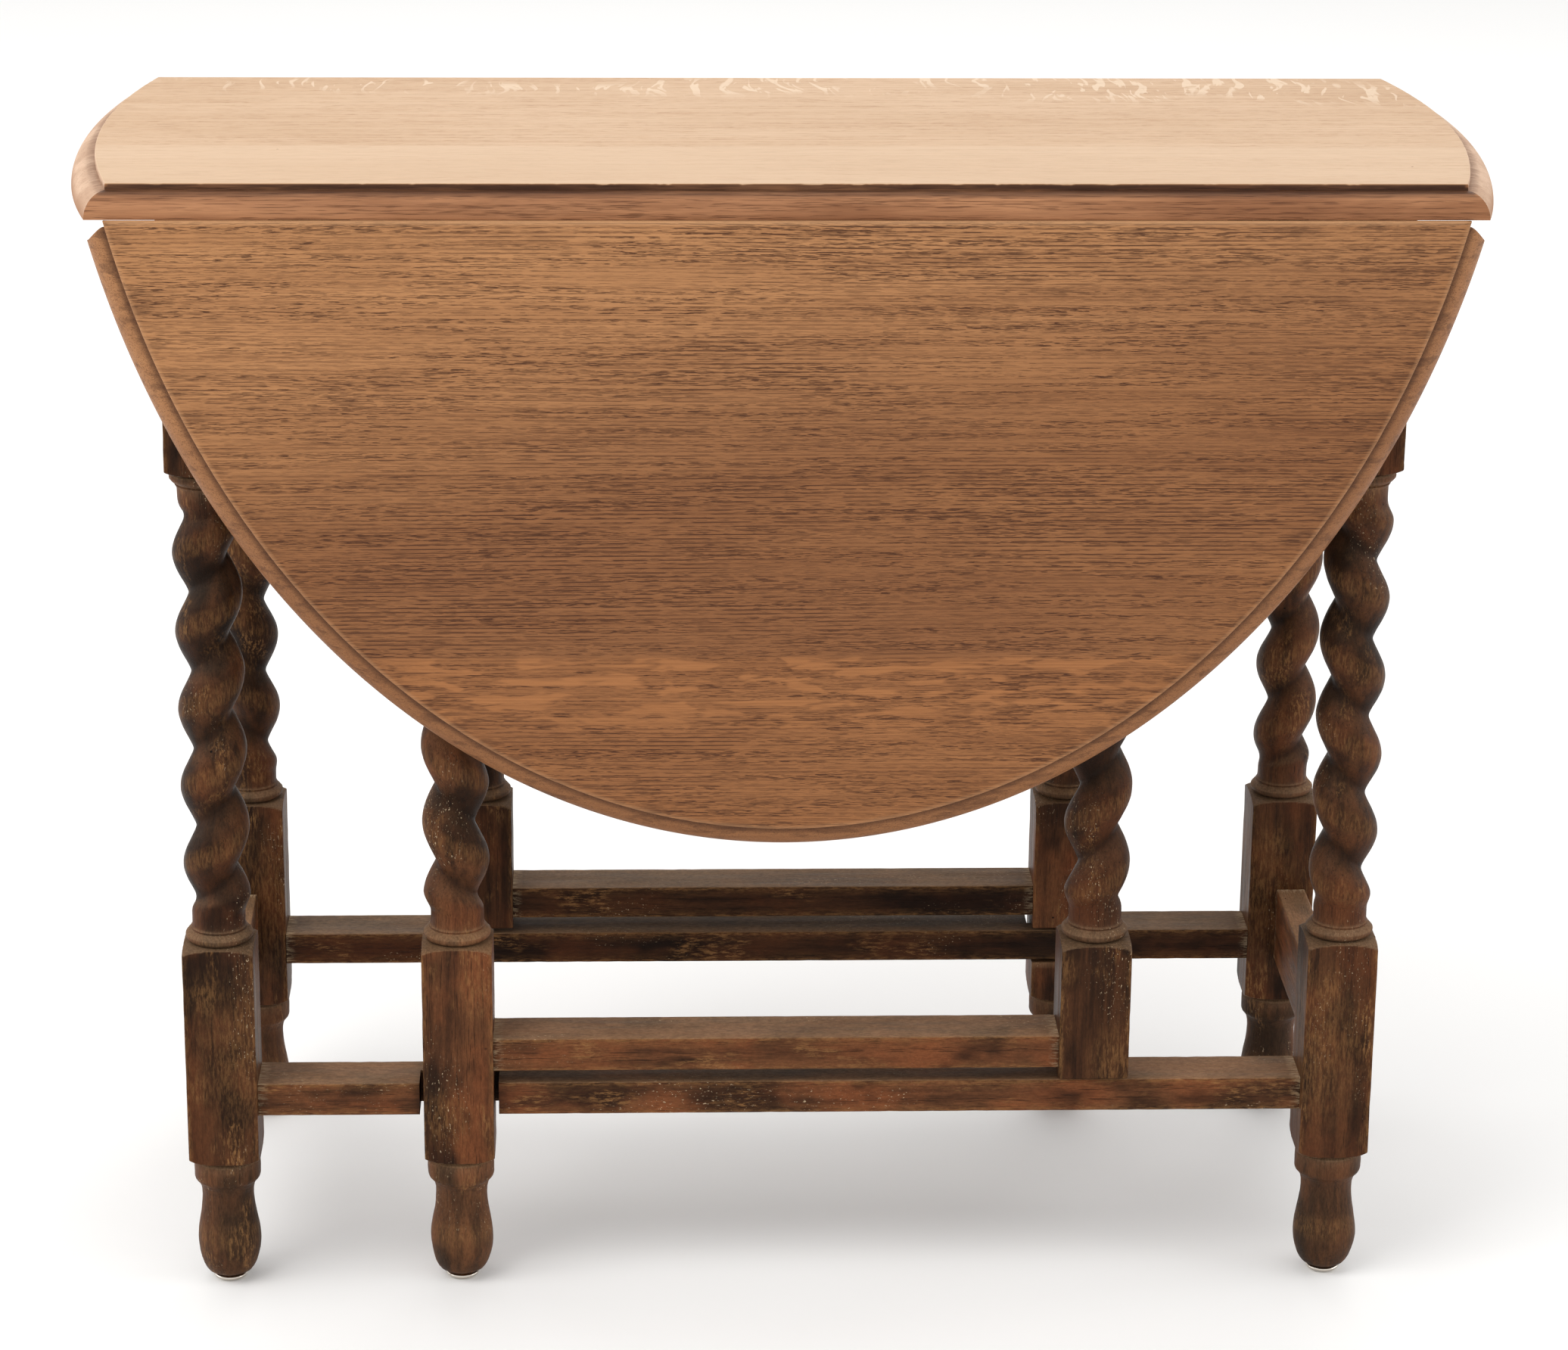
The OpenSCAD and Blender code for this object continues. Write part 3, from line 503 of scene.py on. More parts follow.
def metal(name, bright, dull, rough_lo, rough_hi, spots):
    """Worn metal: polish marks and patches of tarnish."""
    g = Graph(name)
    tex = g.node("ShaderNodeTexCoord").outputs["Object"]
    patch = g.noise(g.scaled(tex, (180, 180, 180)), detail=4, rough=0.65)
    scratch = g.noise(g.scaled(tex, (400, 5200, 5200)), detail=2)
    mask = g.span(patch, 0.62 - spots, 0.78 - spots)
    g.put(g.shader.inputs["Base Color"], g.mix(mask, bright, dull))
    g.put(g.shader.inputs["Metallic"], g.span(mask, 0, 1, 1.0, 0.35))
    rough = g.math("ADD", g.span(mask, 0, 1, rough_lo, rough_hi), g.math("MULTIPLY", scratch, 0.08))
    g.put(g.shader.inputs["Roughness"], rough)
    g.bump(g.math("ADD", g.math("MULTIPLY", patch, 0.7), g.math("MULTIPLY", scratch, 0.3)), 0.00012, 0.5)
    return g.mat


TOP, EDGE, END = top_oak(), edge_oak(), end_oak()
LEAF, RIM = leaf_oak(), leaf_oak("oak_leaf_rim", rim=True)
FRAME = frame_oak("oak_frame", lift=0.90)
GATE = frame_oak("oak_gate", red=0.10, fleck=0.05, lift=1.35, bloom=(136, 106, 78))
RAIL = frame_oak("oak_rail", red=0.12, fleck=0.05, lift=1.55, bloom=(160, 128, 98))
POST = frame_oak("oak_post", red=0.05, fleck=0.02, lift=0.70)
# a darker copy of the frame oak for the rails at the back: painted shade
SHADED_BACK_OAK = frame_oak("oak_back_painted_shade", red=0.03, fleck=0.0, lift=0.62, bloom=(150, 120, 92))
STEEL = metal("steel_dulled", srgb(150, 140, 128), srgb(92, 66, 48), 0.34, 0.62, 0.06)
NICKEL = metal("nickel_worn", srgb(214, 206, 196), srgb(128, 108, 88), 0.18, 0.42, -0.04)


# ---------------------------------------------------------------- the top and the leaves
def edge_profile():
    """Inset and height of the moulded edge from the underside up: ovolo, quirk and worn lip."""
    ang = np.radians(np.linspace(0, 90, 16))
    inset = list(rule_r * (1 - np.cos(ang)))
    z = list(under_z + rule_r * np.sin(ang))
    inset.insert(1, 0.0)
    z.insert(1, under_z + 0.1 * MM)
    for i, h in ((0.05, 0.5), (0.0, 1.2), (0.0, 2.2), (0.0, 3.1), (0.12, 3.55), (0.4, 3.85), (0.9, 4.0), (3.0, 4.0)):
        inset.append(rule_r + i * MM)
        z.append(under_z + rule_r + h * MM)
    return np.array(inset), np.array(z)


def strip_outline(inset, n_end=110, n_side=330):
    """Outline of the top board at an inset, with where each point lies: 1 on the curved ends."""
    a, b, w = half_len - inset, half_wid - inset, hinge_y + rule_r - inset
    phi = math.asin(w / b)
    t = np.linspace(-phi, phi, n_end)
    end = np.stack([a * np.cos(t), b * np.sin(t)], 1)
    x = np.linspace(end[-1, 0], -end[-1, 0], n_side + 2)[1:-1]
    side = np.stack([x, np.full(n_side, w)], 1)
    ends = np.concatenate([np.ones(n_end), np.zeros(n_side)] * 2)
    return np.concatenate([end, side, -end, -side]), ends


def build_top():
    inset, z = edge_profile()
    rings = []
    for i, h in zip(inset, z):
        pts, ends = strip_outline(i)
        rings.append(np.column_stack([pts, np.full(len(pts), h)]))
    n, m = len(rings[0]), len(rings)
    v = np.concatenate(rings)
    level = np.repeat(np.arange(m), n)
    height = (v[:, 2] - under_z) / (rule_r + 4 * MM)
    faces = loft_faces(m, n)
    on_end = np.tile(ends, m)
    # small dents and wear along the lip and the ovolo
    lip = np.isin(level, [m - 6, m - 5, m - 4, m - 3])
    chip = np.clip(wobble(v, 11 * MM, 3) + wobble(v, 4 * MM, 4) * 0.6 - 0.35, 0, 1)
    v[:, 2] -= np.where(lip, chip * 0.45 * MM, 0)
    shrink = 1 - np.where(lip, chip * 0.0006, 0)
    v[:, :2] *= shrink[:, None]
    dirt_long = smooth(0.60, 0.80, height)
    dirt_end = smooth(0.70, 0.79, height) * (1 - smooth(0.86, 0.93, height))
    dirt = np.where(on_end > 0, dirt_end, dirt_long)
    low = np.where(on_end > 0, 1 - smooth(0.05, 0.55, height), 0)
    wear = np.isin(level, [m - 4, m - 3]).astype(float)
    dirt[level >= m - 3] = 0
    fields = {"gco": v, "dirt": dirt, "low": low, "wear": wear}
    mats = np.zeros(len(faces), int)
    col = np.tile(np.arange(n), m - 1)
    row = np.repeat(np.arange(m - 1), n)
    nxt = (col + 1) % n
    both = (ends[col] > 0) & (ends[nxt] > 0)
    mats[: len(col)] = np.where(row >= m - 3, 0, np.where(both, 2, 1))
    mats[-2], mats[-1] = 1, 0
    low_z, high_z = under_z - below, under_z + flap_t
    flats, outs, skims, rods = [], [], [], []
    for x in (-hinge_x, hinge_x):
        for s in (-1, 1):
            x0, x1 = x - hinge_half, x + hinge_half

            def room(y, top):
                return box_solid(x0, x1, min(s * y, s * hinge_y), max(s * y, s * hinge_y), low_z, top)

            flats.append(room(hinge_y - short_flap, high_z))
            # a skin is left at the front edge, so that the room for the raised flap does not show
            outs.append(room(hinge_y + rule_r - 0.7 * MM, high_z + 0.4 * MM))
            skims.append(room(hinge_y + rule_r + below, under_z + 0.25 * MM))
            rods.append(rod_solid(x0, x1, s * hinge_y, under_z, barrel_r))
    make_piece("top_board_wood", v, faces, [TOP, EDGE, END], "frame", "top_board", fields,
               angle=24, face_mats=mats, carving=((flats, outs, skims, rods), 1, lambda p: p))


def leaf_outline(inset, line, n_arc, n_line):
    """Outline of a raised front leaf at an inset, whose hinge edge lies on y = -line."""
    a, b = half_len - inset, half_wid - inset
    phi = math.asin(line / b)
    t = np.linspace(math.pi + phi, 2 * math.pi - phi, n_arc)
    arc = np.stack([a * np.cos(t), b * np.sin(t)], 1)
    x = np.linspace(arc[-1, 0], arc[0, 0], n_line + 2)[1:-1]
    return np.concatenate([arc, np.stack([x, np.full(n_line, -line)], 1)])


def build_leaf(side, body, node, seed):
    n_arc, n_line = arc_points, line_points
    inset, z = edge_profile()
    cove = rule_r + rule_gap
    rise = np.minimum(z - under_z, cove)
    line = np.maximum(hinge_y + np.sqrt(np.maximum(cove**2 - rise**2, 0)), hinge_y + lip_gap)
    line[-3:] += np.array([0.1, 0.35, 3.0]) * MM
    rings = []
    for i, h, y in zip(inset, z, line):
        pts = leaf_outline(i, y, n_arc, n_line)
        rings.append(np.column_stack([pts, np.full(len(pts), h)]))
    n, m = len(rings[0]), len(rings)
    v = np.concatenate(rings)
    level = np.repeat(np.arange(m), n)
    faces = loft_faces(m, n)
    height = (v[:, 2] - under_z) / (rule_r + 4 * MM)
    on_arc = np.tile(np.arange(n) < n_arc, m)
    lip = np.isin(level, [m - 6, m - 5, m - 4, m - 3])
    chip = np.clip(wobble(v, 9 * MM, seed) + wobble(v, 4 * MM, seed + 1) * 0.6 - 0.4, 0, 1)
    v[:, 2] -= np.where(lip, chip * 0.4 * MM, 0)
    gco = v.copy()
    gco[:, 0] += 0.0 if side < 0 else 2.31
    dirt = np.where(on_arc, smooth(0.74, 0.80, height) * (1 - smooth(0.90, 0.96, height)), 0)
    wear = np.isin(level, [m - 4, m - 3, m - 2]).astype(float) * np.where(on_arc, 0.45, 1.0)
    wear = np.where(~on_arc & (height > 0.81), 1.0, wear) * (level < m - 1)
    # the leaf hangs: turned a quarter about the hinge line
    v = np.column_stack([v[:, 0], -(v[:, 2] - under_z) - hinge_y, v[:, 1] + hinge_y + under_z])
    if side > 0:
        v[:, :2] *= -1
    mats = np.zeros(len(faces), int)
    col = np.tile(np.arange(n), m - 1)
    row = np.repeat(np.arange(m - 1), n)
    mats[: len(col)] = np.where((row < m - 4) & (col < n_arc - 1), 1, 0)

    def flat_grain(p):
        turn, shift = (1, 0.0) if side < 0 else (-1, 2.31)
        return np.column_stack([turn * p[:, 0] + shift, p[:, 2] - hinge_y - under_z,
                                under_z - hinge_y - turn * p[:, 1]])

    # room for the hinge flaps, let into the underside
    rooms = [box_solid(x - hinge_half, x + hinge_half, -hinge_y - flap_t, -hinge_y + below,
                       under_z - long_flap, under_z + below) for x in (-hinge_x, hinge_x)]
    if side > 0:
        rooms = [([(-x, -y, z) for x, y, z in verts], f) for verts, f in rooms]
    make_piece(node + "_wood", v, faces, [LEAF, RIM], body, node,
               {"gco": gco, "dirt": dirt, "wear": wear}, angle=24, face_mats=mats,
               carving=((rooms,), 1, flat_grain))


# ---------------------------------------------------------------- turned uprights
def square_radius(theta, half, r):
    """Distance from the centre to a square of that half side with its corners rounded to r."""
    c, s = np.abs(np.cos(theta)), np.abs(np.sin(theta))
    flat = half / np.maximum(c, s)
    k = half - r
    # ray against the corner's circle, centred at (k, k)
    b = k * (c + s)
    disc = np.maximum(b * b - (2 * k * k - r * r), 0)
    round_ = b + np.sqrt(disc)
    corner = (np.minimum(c, s) * flat) > k
    return np.where(corner, np.minimum(flat, round_), flat)


def shoulder_curve(r0, r1, z0, z1, n=10):
    a = np.radians(np.linspace(0, 90, n))
    return [(z1 + (z0 - z1) * math.cos(k), r0 + (r1 - r0) * math.sin(k)) for k in a]


def bead_curve(zc, up):
    """Bead with a fine line turned near its neck side; up is 1 with the neck above."""
    pts = []
    for t in np.linspace(-1, 1, 15):
        r = bead_r - bead_h / 2 + bead_h / 2 * math.sqrt(max(0.0, 1 - t * t))
        if t * up > 0.42:
            r -= 0.55 * MM
        pts.append((zc + t * bead_h / 2, r))
    return pts


FOOT = ((6.0, 12.6), (7.0, 14.4), (9.0, 15.9), (12.0, 17.4), (16.0, 18.7), (21.0, 19.8), (26.0, 20.3), (31.0, 20.3),
        (36.0, 19.8), (42.0, 18.8), (48.0, 17.7), (54.0, 16.9), (60.0, 16.6), (64.0, 16.8), (67.5, 17.6), (70.2, 19.0),
        (71.4, 20.2), (72.4, 21.0), (74.0, 21.5), (80.0, 21.5), (83.5, 21.4), (85.6, 21.0), (86.6, 20.0), (87.2, 18.8))


def turned_profile(z_start, z_end, footed):
    """Height and radius of the turning, before the squares and the twist."""
    corner = leg_s * 0.72
    pts = []
    if footed:
        pts += [(z * MM, r * MM) for z, r in FOOT]
        pts += shoulder_curve(groove_r, corner, foot_z - shoulder_h, foot_z)
    else:
        pts.append((z_start, corner))
    lo = block_top + shoulder_h
    pts += [(block_top + (lo - z), r) for z, r in reversed(shoulder_curve(groove_r, corner, block_top, lo))]
    pts += bead_curve(lo + bead_h / 2, 1)
    hi = upper_z - shoulder_h
    for t in np.linspace(0, 1, 6)[1:]:
        pts.append((lo + bead_h + 4 * MM * t, neck_r + 2.0 * MM * (1 - t) ** 2))
    for t in np.linspace(0, 1, 6)[:-1]:
        pts.append((hi - bead_h - 4 * MM * (1 - t), neck_r + 2.0 * MM * t**2))
    pts += bead_curve(hi - bead_h / 2, -1)
    pts += shoulder_curve(groove_r, corner, hi, upper_z)
    pts.append((z_end, corner))
    pts = np.array(pts)
    return pts[:, 0], pts[:, 1]


def levels(spans):
    """Heights from (start, end, step) spans, in metres."""
    out = []
    for a, b, step in spans:
        out += list(np.linspace(a, b, max(2, int(round((b - a) / step)) + 1)))
    return np.unique(np.round(out, 6))


def upright(name, node, body, x, y, hand, turn, z_start, z_end, footed, seed, cuts=(), half_turn=False,
            material=None, scuffs_and_lit_sides=()):
    """A square leg or post with its turning and twist; cuts are (low, high, back limit) notches behind."""
    lo, hi = block_top + shoulder_h + bead_h + neck_h, upper_z - shoulder_h - bead_h - neck_h
    spans = []
    if footed:
        spans += [(glide_h, 12 * MM, 1.0 * MM), (12 * MM, 64 * MM, 2.2 * MM), (64 * MM, foot_z + 3 * MM, 0.7 * MM)]
    spans += [(max(z_start, foot_z), block_top - 4 * MM, 6 * MM), (block_top - 4 * MM, lo - 6 * MM, 0.7 * MM),
              (lo - 6 * MM, hi + 6 * MM, 1.7 * MM), (hi + 6 * MM, upper_z + 3 * MM, 0.7 * MM),
              (upper_z + 3 * MM, z_end, 8 * MM)]
    zs = levels(spans)
    zs = zs[(zs >= (glide_h if footed else z_start) - 1e-9) & (zs <= z_end + 1e-9)]
    for a, b, _ in cuts:
        zs = np.unique(np.concatenate([zs, [z for z in (a - sliver, a, b, b + sliver) if z < z_end]]))
    n = 112
    u = np.linspace(0, 2 * math.pi, n, endpoint=False)
    theta = u + 0.6 / 4 * np.sin(4 * u)
    pz, pr = turned_profile(z_start, z_end, footed)
    order = np.argsort(pz, kind="stable")
    ring_r = np.interp(zs, pz[order], pr[order])
    zz, tt = np.meshgrid(zs, theta, indexing="ij")
    r = np.repeat(ring_r[:, None], n, 1)
    square = square_radius(tt, leg_s / 2, 1.1 * MM)
    edge = smooth(0.93, 1.0, square / square.max())
    in_block = r > square
    r = np.minimum(r, square)
    # the twist, run out into the necks
    bearing = math.radians(turn) + hand * 2 * math.pi * (zz - lo) / twist_pitch
    wave = np.abs(np.sin((tt - bearing) / 2)) ** twist_power
    coil = twist_core + (twist_r - twist_core) * wave
    share = smooth(lo - 4 * MM, lo + 11 * MM, zz) * (1 - smooth(hi - 11 * MM, hi + 4 * MM, zz))
    r = r * (1 - share) + coil * share
    pts = np.column_stack([(r * np.cos(tt)).ravel(), (r * np.sin(tt)).ravel(), zz.ravel()])
    # hand work: slight waves in the surface
    flow = wobble(pts, 26 * MM, seed) * 0.22 * MM + wobble(pts, 9 * MM, seed + 1) * 0.07 * MM
    flow -= np.clip(wobble(pts, 7 * MM, seed + 2) - 0.55, 0, 1) * 0.5 * MM * (edge * in_block).ravel()
    flow = np.where(in_block.ravel() & (edge.ravel() < 0.02), np.minimum(flow * 0.3, 0), flow)
    length = np.hypot(pts[:, 0], pts[:, 1])
    keep = np.minimum(length + flow, np.where(in_block.ravel(), square.ravel(), 1))
    pts[:, :2] *= (keep / length)[:, None]
    for a, b, back in cuts:
        hit = (pts[:, 2] > a - 1e-9) & (pts[:, 2] < b + 1e-9)
        pts[hit, 1] = np.minimum(pts[hit, 1], back)
    faces = loft_faces(len(zs), n)
    up = up_share(pts, faces)
    groove = np.clip(1 - (coil - twist_core) / (twist_r - twist_core), 0, 1) ** 2.2 * share
    turned = (1 - share) * ~in_block
    ring_dirt = np.exp(-((zz - (block_top + shoulder_h)) / (1.6 * MM)) ** 2)
    ring_dirt += np.exp(-((zz - (upper_z - shoulder_h)) / (1.6 * MM)) ** 2)
    ring_dirt += np.exp(-((zz - (foot_z - shoulder_h - 1.2 * MM)) / (1.6 * MM)) ** 2)
    dirt = np.clip(groove + ring_dirt * turned, 0, 1).ravel()
    wear = np.clip(edge * in_block * (0.5 + 0.5 * np.clip(wobble(pts, 30 * MM, seed + 5).reshape(zz.shape), 0, 1))
                   + 0.42 * share * smooth(0.80, 1.0, wave), 0, 1).ravel()
    if footed:
        wear = np.maximum(wear, 0.45 * smooth(24 * MM, 34 * MM, pts[:, 2]) * (1 - smooth(36 * MM, 48 * MM, pts[:, 2])))
    # pale patches added to the wear: small rubs, and on each fixed leg a large painted light patch on the inner side
    # face
    for sx, sy, sz, size in scuffs_and_lit_sides:
        away = np.linalg.norm((pts - np.array([sx, sy, sz]) * MM) * (1, 1, 0.75), axis=1)
        wear = np.maximum(wear, 0.6 * (1 - smooth(0.2 * size * MM, size * MM, away)))
    beads = sum(np.exp(-((zz - z) / (7 * MM)) ** 2) for z in
                (block_top + shoulder_h + 3 * MM, upper_z - shoulder_h - bead_h, foot_z - 6 * MM))
    dust = smooth(0.25, 0.75, up) * (1 - share.ravel() * 0.7) + 0.38 * (turned * beads).ravel()
    dust = np.clip(dust + 0.14 * (turned * (zz < foot_z)).ravel(), 0, 0.85)
    gco = np.column_stack([pts[:, 2], pts[:, 0], pts[:, 1]]) + np.array([seed * 0.37, seed * 0.053, seed * 0.029])
    v = pts + np.array([x, y, 0])
    if half_turn:
        v[:, :2] *= -1
    make_piece(name, v, faces, [material or FRAME], body, node,
               {"gco": gco, "dirt": dirt, "wear": wear, "dust": dust}, angle=40)


# ---------------------------------------------------------------- rails and aprons
def span_to(first, ring, corner):
    """Points along the flat side from the end of a ring to the next corner, with their share of corner wear."""
    last = ring[-1]
    for t in (0.08, 0.3, 0.5, 0.7, 0.92):
        ring.append((last[0] + (first[0] - last[0]) * t, last[1] + (first[1] - last[1]) * t))
        corner.append(0.35 if t in (0.08, 0.92) else 0.0)


def bar(name, node, body, x0, x1, box, seed, notch=None, turn="none", material=None, round_r=1.2 * MM):
    """A bar along X: box is (y0, y1, z0, z1); notch is (start, end, y0 inside it). turn puts it in place."""
    material = material or RAIL
    y0, y1, z0, z1 = box
    xs = list(levels([(x0, x1, 7 * MM)]))
    xs += [x0 + 0.4 * MM, x0 + 2 * MM, x1 - 0.4 * MM, x1 - 2 * MM]
    if notch:
        xs += [end + step for end in notch[:2] for step in (-sliver, sliver)]
    xs = np.unique(np.round(xs, 6))
    rings, near = [], []
    for x in xs:
        f0 = notch[2] if notch and notch[0] < x < notch[1] else y0
        ring, corner = [], []
        arc = np.radians(np.linspace(0, 90, 4))
        for cy, cz, a0 in ((y1 - round_r, z1 - round_r, 0), (f0 + round_r, z1 - round_r, 90),
                           (f0 + round_r, z0 + round_r, 180), (y1 - round_r, z0 + round_r, 270)):
            turned = [(cy + round_r * math.cos(a + math.radians(a0)), cz + round_r * math.sin(a + math.radians(a0)))
                      for a in arc]
            if ring:
                span_to(turned[0], ring, corner)
            ring += turned
            corner += [1.0] * len(arc)
        span_to(ring[0], ring, corner)
        rings.append(np.column_stack([np.full(len(ring), x), np.array(ring)]))
        near.append(np.array(corner))
    n = len(rings[0])
    v = np.concatenate(rings)
    wear = np.concatenate(near)
    centre = np.array([0, (y0 + y1) / 2, (z0 + z1) / 2])
    chip = np.clip(wobble(v, 12 * MM, seed) + 0.6 * wobble(v, 5 * MM, seed + 1) - 0.2, 0, 1) * wear
    inward = centre - v
    inward[:, 0] = 0
    inward /= np.maximum(np.linalg.norm(inward, axis=1), 1e-9)[:, None]
    v = v + inward * (chip * 0.25 * MM)[:, None]
    wave = (wobble(v, 90 * MM, seed + 2) - 1) * 0.07 * MM * (wear < 0.9)
    v = v + inward * (-wave)[:, None]
    faces = loft_faces(len(xs), n)
    up = up_share(v, faces)
    ends = np.minimum(v[:, 0] - x0, x1 - v[:, 0])
    dust = np.clip(smooth(0.55, 0.95, up) * (0.72 + 0.4 * (1 - smooth(0, 7 * MM, ends))), 0, 1)
    dirt = 0.55 * (1 - smooth(0, 3.5 * MM, ends)) * (up < 0.5)
    if notch:
        inside = smooth(notch[0] - 6 * MM, notch[0], v[:, 0]) * (1 - smooth(notch[1], notch[1] + 6 * MM, v[:, 0]))
        dirt = np.maximum(dirt, 0.7 * inside)
    glue = (1 - smooth(1 * MM, 4 * MM, ends)) * (0.45 + 0.55 * smooth(0.5, 0.9, up))
    gco = v + np.array([seed * 0.41, seed * 0.047, seed * 0.033])
    if turn == "half":
        v[:, :2] *= -1
    elif turn == "quarter":
        v = np.column_stack([-v[:, 1], v[:, 0], v[:, 2]])
    make_piece(name, v, faces, [material], body, node,
               {"gco": gco, "dirt": dirt, "wear": wear * 0.8, "dust": dust, "glue": glue}, angle=40)


def box_of(node, along):
    """A rail's own extents without its tenons: start, end and the cross-section's limits."""
    lo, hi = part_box(node)
    if along == "x":
        return lo.x + tenon, hi.x - tenon, (lo.y, hi.y, lo.z, hi.z)
    return lo.y + tenon, hi.y - tenon, (-hi.x, -lo.x, lo.z, hi.z)


def build_rails():
    half_notch = leg_s / 2 + 3 * MM
    for kind, depth in notch_depth.items():
        node = f"{kind}_front"
        x0, x1, box = box_of(node, "x")
        notch = (-gate_x - half_notch, -gate_x + half_notch, box[0] + depth)
        material = RAIL if kind == "stretcher" else FRAME
        bar(node + "_wood", node, "frame", x0, x1, box, 31 if kind == "stretcher" else 37, notch, material=material)
        # the back stretcher and back apron get the darker oak: painted shade
        bar(f"{kind}_back_wood", f"{kind}_back", "frame", x0, x1, box, 43 if kind == "stretcher" else 47, notch,
            turn="half", material=SHADED_BACK_OAK)
        for i, side in enumerate(("left", "right")):
            node = f"{kind}_{side}"
            y0, y1, box = box_of(node, "y")
            bar(node + "_wood", node, "frame", y0, y1, box, 53 + 4 * i + len(kind), turn="quarter", material=material)
    for i, level in enumerate(("top", "low")):
        node = f"gate_{level}_rail_front"
        x0, x1, box = box_of(node, "x")
        bar(node + "_wood", node, "gate_front", x0, x1, box, 71 + 5 * i)
        # the back gate rails get the darker oak: painted shade
        bar(f"gate_{level}_rail_back_wood", f"gate_{level}_rail_back", "gate_back", x0, x1, box, 87 + 5 * i,
            turn="half", material=SHADED_BACK_OAK)


def build_uprights():
    for side, sx, sy, hand, turn, seed in (("front_left", -1, -1, 1, 158, 11), ("front_right", 1, -1, -1, 151, 12),
                                           ("back_left", -1, 1, -1, 127, 13), ("back_right", 1, 1, 1, 212, 14)):
        node = "leg_" + side
        # the last patch on each leg, on its inner side face, is painted light from the sides, laid on as worn finish
        upright(node + "_wood", node, "frame", sx * leg_x, sy * leg_y, hand, turn, foot_z, under_z, True, seed,
                scuffs_and_lit_sides=((-8, -22, 205, 17), (-14, -22, 142, 12), (10, -22, 168, 9), (-sx * 23, -4, 165, 62)))
    rail_lo, rail_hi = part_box("stretcher_front")
    apron_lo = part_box("apron_front")[0]
    post_lo, post_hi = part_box("gate_post_front")
    gate_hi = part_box("gate_leg_front")[1]
    room = 2 * MM
    # where the gate leg is cut back, so that it fits over the notched stretcher and apron
    cuts = ((rail_lo.z - room, rail_hi.z + room, rail_lo.y + notch_depth["stretcher"] - 1 * MM + leg_y),
            (apron_lo.z - room, under_z + room, apron_lo.y + notch_depth["apron"] - 1 * MM + leg_y))
    for i, side in enumerate(("front", "back")):
        half = side == "back"
        upright(f"gate_leg_{side}_wood", f"gate_leg_{side}", f"gate_{side}", -gate_x, -leg_y, -1, 45, foot_z,
                gate_hi.z, True, 21 + 4 * i, cuts, half, GATE, ((-8, -22, 120, 22), (12, -22, 212, 16)))
        upright(f"gate_post_{side}_wood", f"gate_post_{side}", f"gate_{side}", pivot_x, -leg_y, 1, 337, post_lo.z,
                post_hi.z, False, 23 + 4 * i, (), half, POST, ((16, -22, 158, 26), (-20, -20, 222, 12)))


# ---------------------------------------------------------------- glides
def build_glides():
    prof = [(4.0, 0.0), (7.2, 0.25), (9.3, 0.8), (10.4, 1.6), (10.9, 2.4), (11.0, 2.9), (10.8, 3.4),
            (10.2, 3.8), (9.0, 4.1), (8.3, 4.3), (8.1, 4.8), (8.1, 5.6), (8.0, 6.0)]
    n = 48
    a = np.linspace(0, 2 * math.pi, n, endpoint=False)

    def glide_at(spots, name, body, node):
        verts, faces = [], []
        for x, y in spots:
            base = len(verts)
            for r, z in prof:
                verts += [(x + r * MM * math.cos(k), y + r * MM * math.sin(k), z * MM) for k in a]
            faces += [[base + i for i in f] for f in loft_faces(len(prof), n)]
        make_piece(name, verts, faces, [NICKEL], body, node, {}, angle=50)

    corners = [(sx * leg_x, sy * leg_y) for sx in (-1, 1) for sy in (-1, 1)]
    glide_at(corners, "glides_fixed_caps", "frame", "glides_fixed")
    for side in ("front", "back"):
        node = f"gate_glide_{side}"
        lo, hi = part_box(node)
        glide_at([((lo.x + hi.x) / 2, (lo.y + hi.y) / 2)], node + "_cap", f"gate_{side}", node)


# ---------------------------------------------------------------- CAD nodes that stay
def finish_nodes():
    raw_x, raw_z = raw_oak("oak_plain_x", "x"), raw_oak("oak_plain_z", "z")
    for name, obj in frame["nodes"].items():
        if name in ("fixing_blocks", "gate_stop_front", "gate_stop_back"):
            mat = raw_x
        elif name.startswith("pivot_dowels"):
            mat = raw_z
        elif name.startswith(("hinge", "flap", "stop_screws", "fixing_screws")):
            mat = STEEL
        else:
            continue
        obj.data.materials.clear()
        obj.data.materials.append(mat)
        soft = obj.modifiers.new("edge_round", "BEVEL")
        soft.width = 0.8 * MM if mat is raw_x else 0.2 * MM
        soft.segments = 2
        soft.limit_method = "ANGLE"
        soft.angle_limit = math.radians(50)
        soft.harden_normals = False


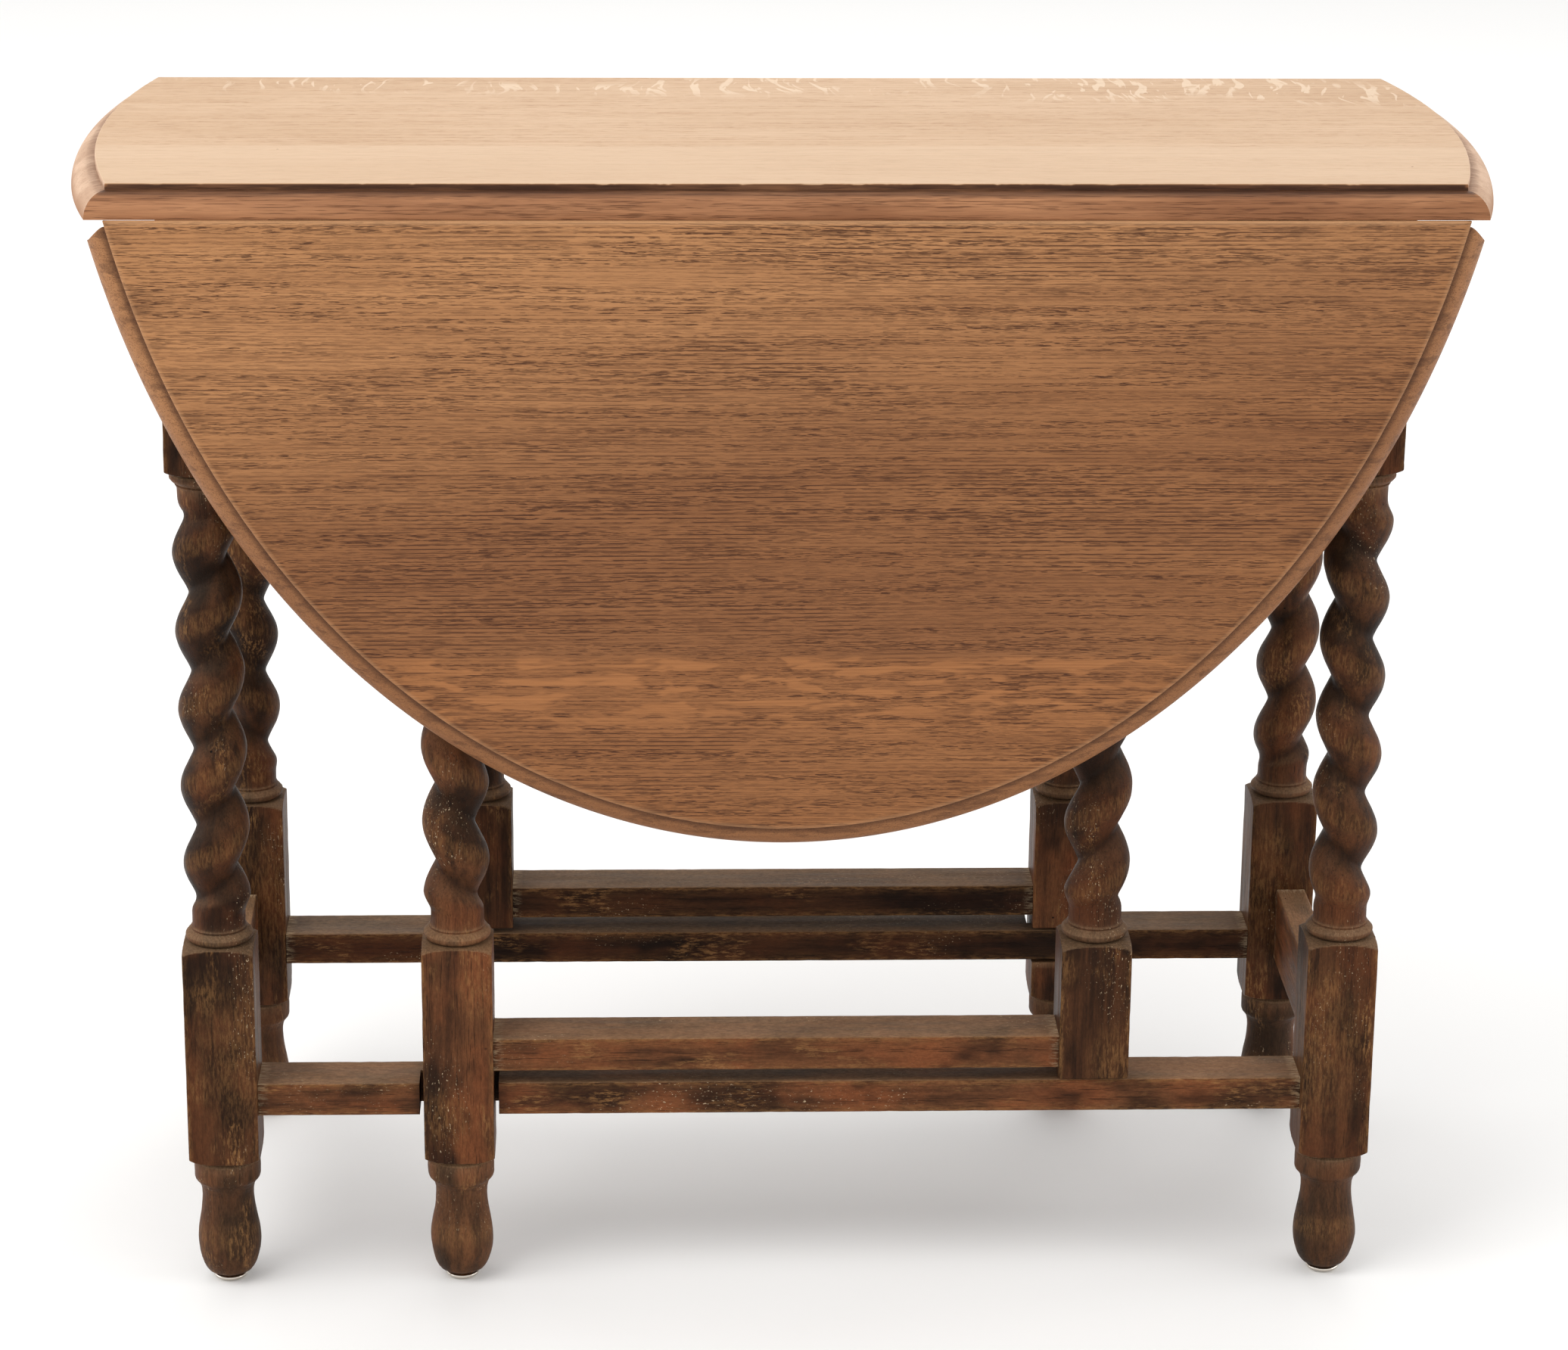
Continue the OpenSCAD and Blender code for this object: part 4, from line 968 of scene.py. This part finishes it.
# ---------------------------------------------------------------- floor, light, camera
def build_stage():
    mesh = bpy.data.meshes.new("floor")
    half = 60.0
    mesh.from_pydata([(-half, -half, 0), (half, -half, 0), (half, half, 0), (-half, half, 0)], [], [(0, 1, 2, 3)])
    floor = bpy.data.objects.new("floor", mesh)
    bpy.context.scene.collection.objects.link(floor)
    g = Graph("floor_pale")
    g.shader.inputs["Base Color"].default_value = (0.90, 0.897, 0.892, 1)
    g.shader.inputs["Roughness"].default_value = 0.9
    mesh.materials.append(g.mat)

    def area(name, place, target, size, power, color=(1, 1, 1)):
        light = bpy.data.lights.new(name, "AREA")
        light.shape = "RECTANGLE"
        light.size, light.size_y = size
        light.energy = power
        light.color = color
        obj = bpy.data.objects.new(name, light)
        bpy.context.scene.collection.objects.link(obj)
        obj.location = place
        aim = Matrix.Translation(place).to_translation() - Matrix.Translation(target).to_translation()
        obj.rotation_mode = "QUATERNION"
        obj.rotation_quaternion = aim.to_track_quat("Z", "Y")

    area("key", (-2.0, -1.6, 3.4), (0, 0, 0.5), (2.2, 2.0), 50, (1.0, 0.985, 0.965))
    area("side_left", (-3.4, -0.2, 1.2), (0, 0, 0.4), (2.6, 2.0), 26)
    area("side_right", (3.4, -0.4, 1.2), (0, 0, 0.4), (2.6, 2.0), 30)
    area("back", (0.4, 3.4, 2.6), (0, 0, 0.5), (3.2, 1.8), 26)
    world = bpy.data.worlds.new("studio")
    world.use_nodes = True
    world.node_tree.nodes["Background"].inputs[0].default_value = (1, 0.995, 0.985, 1)
    world.node_tree.nodes["Background"].inputs[1].default_value = 1.0
    bpy.context.scene.world = world
    bpy.context.scene.view_settings.view_transform = "Standard"
    bpy.context.scene.view_settings.look = "None"

    # the photo's camera, in metres and radians
    place, yaw, pitch, roll = (-0.100, -2.8256, 1.3164), -0.03716, -0.32336, 0.0085
    fwd = np.array([-math.sin(yaw) * math.cos(pitch), math.cos(yaw) * math.cos(pitch), math.sin(pitch)])
    right = np.array([math.cos(yaw), math.sin(yaw), 0])
    up = np.cross(right, fwd)
    r2 = right * math.cos(roll) + up * math.sin(roll)
    u2 = up * math.cos(roll) - right * math.sin(roll)
    cam = bpy.data.cameras.new("camera")
    cam.sensor_width = 36
    cam.lens = 103.71
    obj = bpy.data.objects.new("camera", cam)
    bpy.context.scene.collection.objects.link(obj)
    turn = Matrix([[r2[i], u2[i], -fwd[i]] for i in range(3)])
    obj.matrix_world = Matrix.Translation(place) @ turn.to_4x4()
    bpy.context.scene.camera = obj


build_stage()
build_top()
build_leaf(-1, "leaf_front", "leaf_front", 61)
build_leaf(1, "leaf_back", "leaf_back", 67)
build_uprights()
build_rails()
build_glides()
finish_nodes()
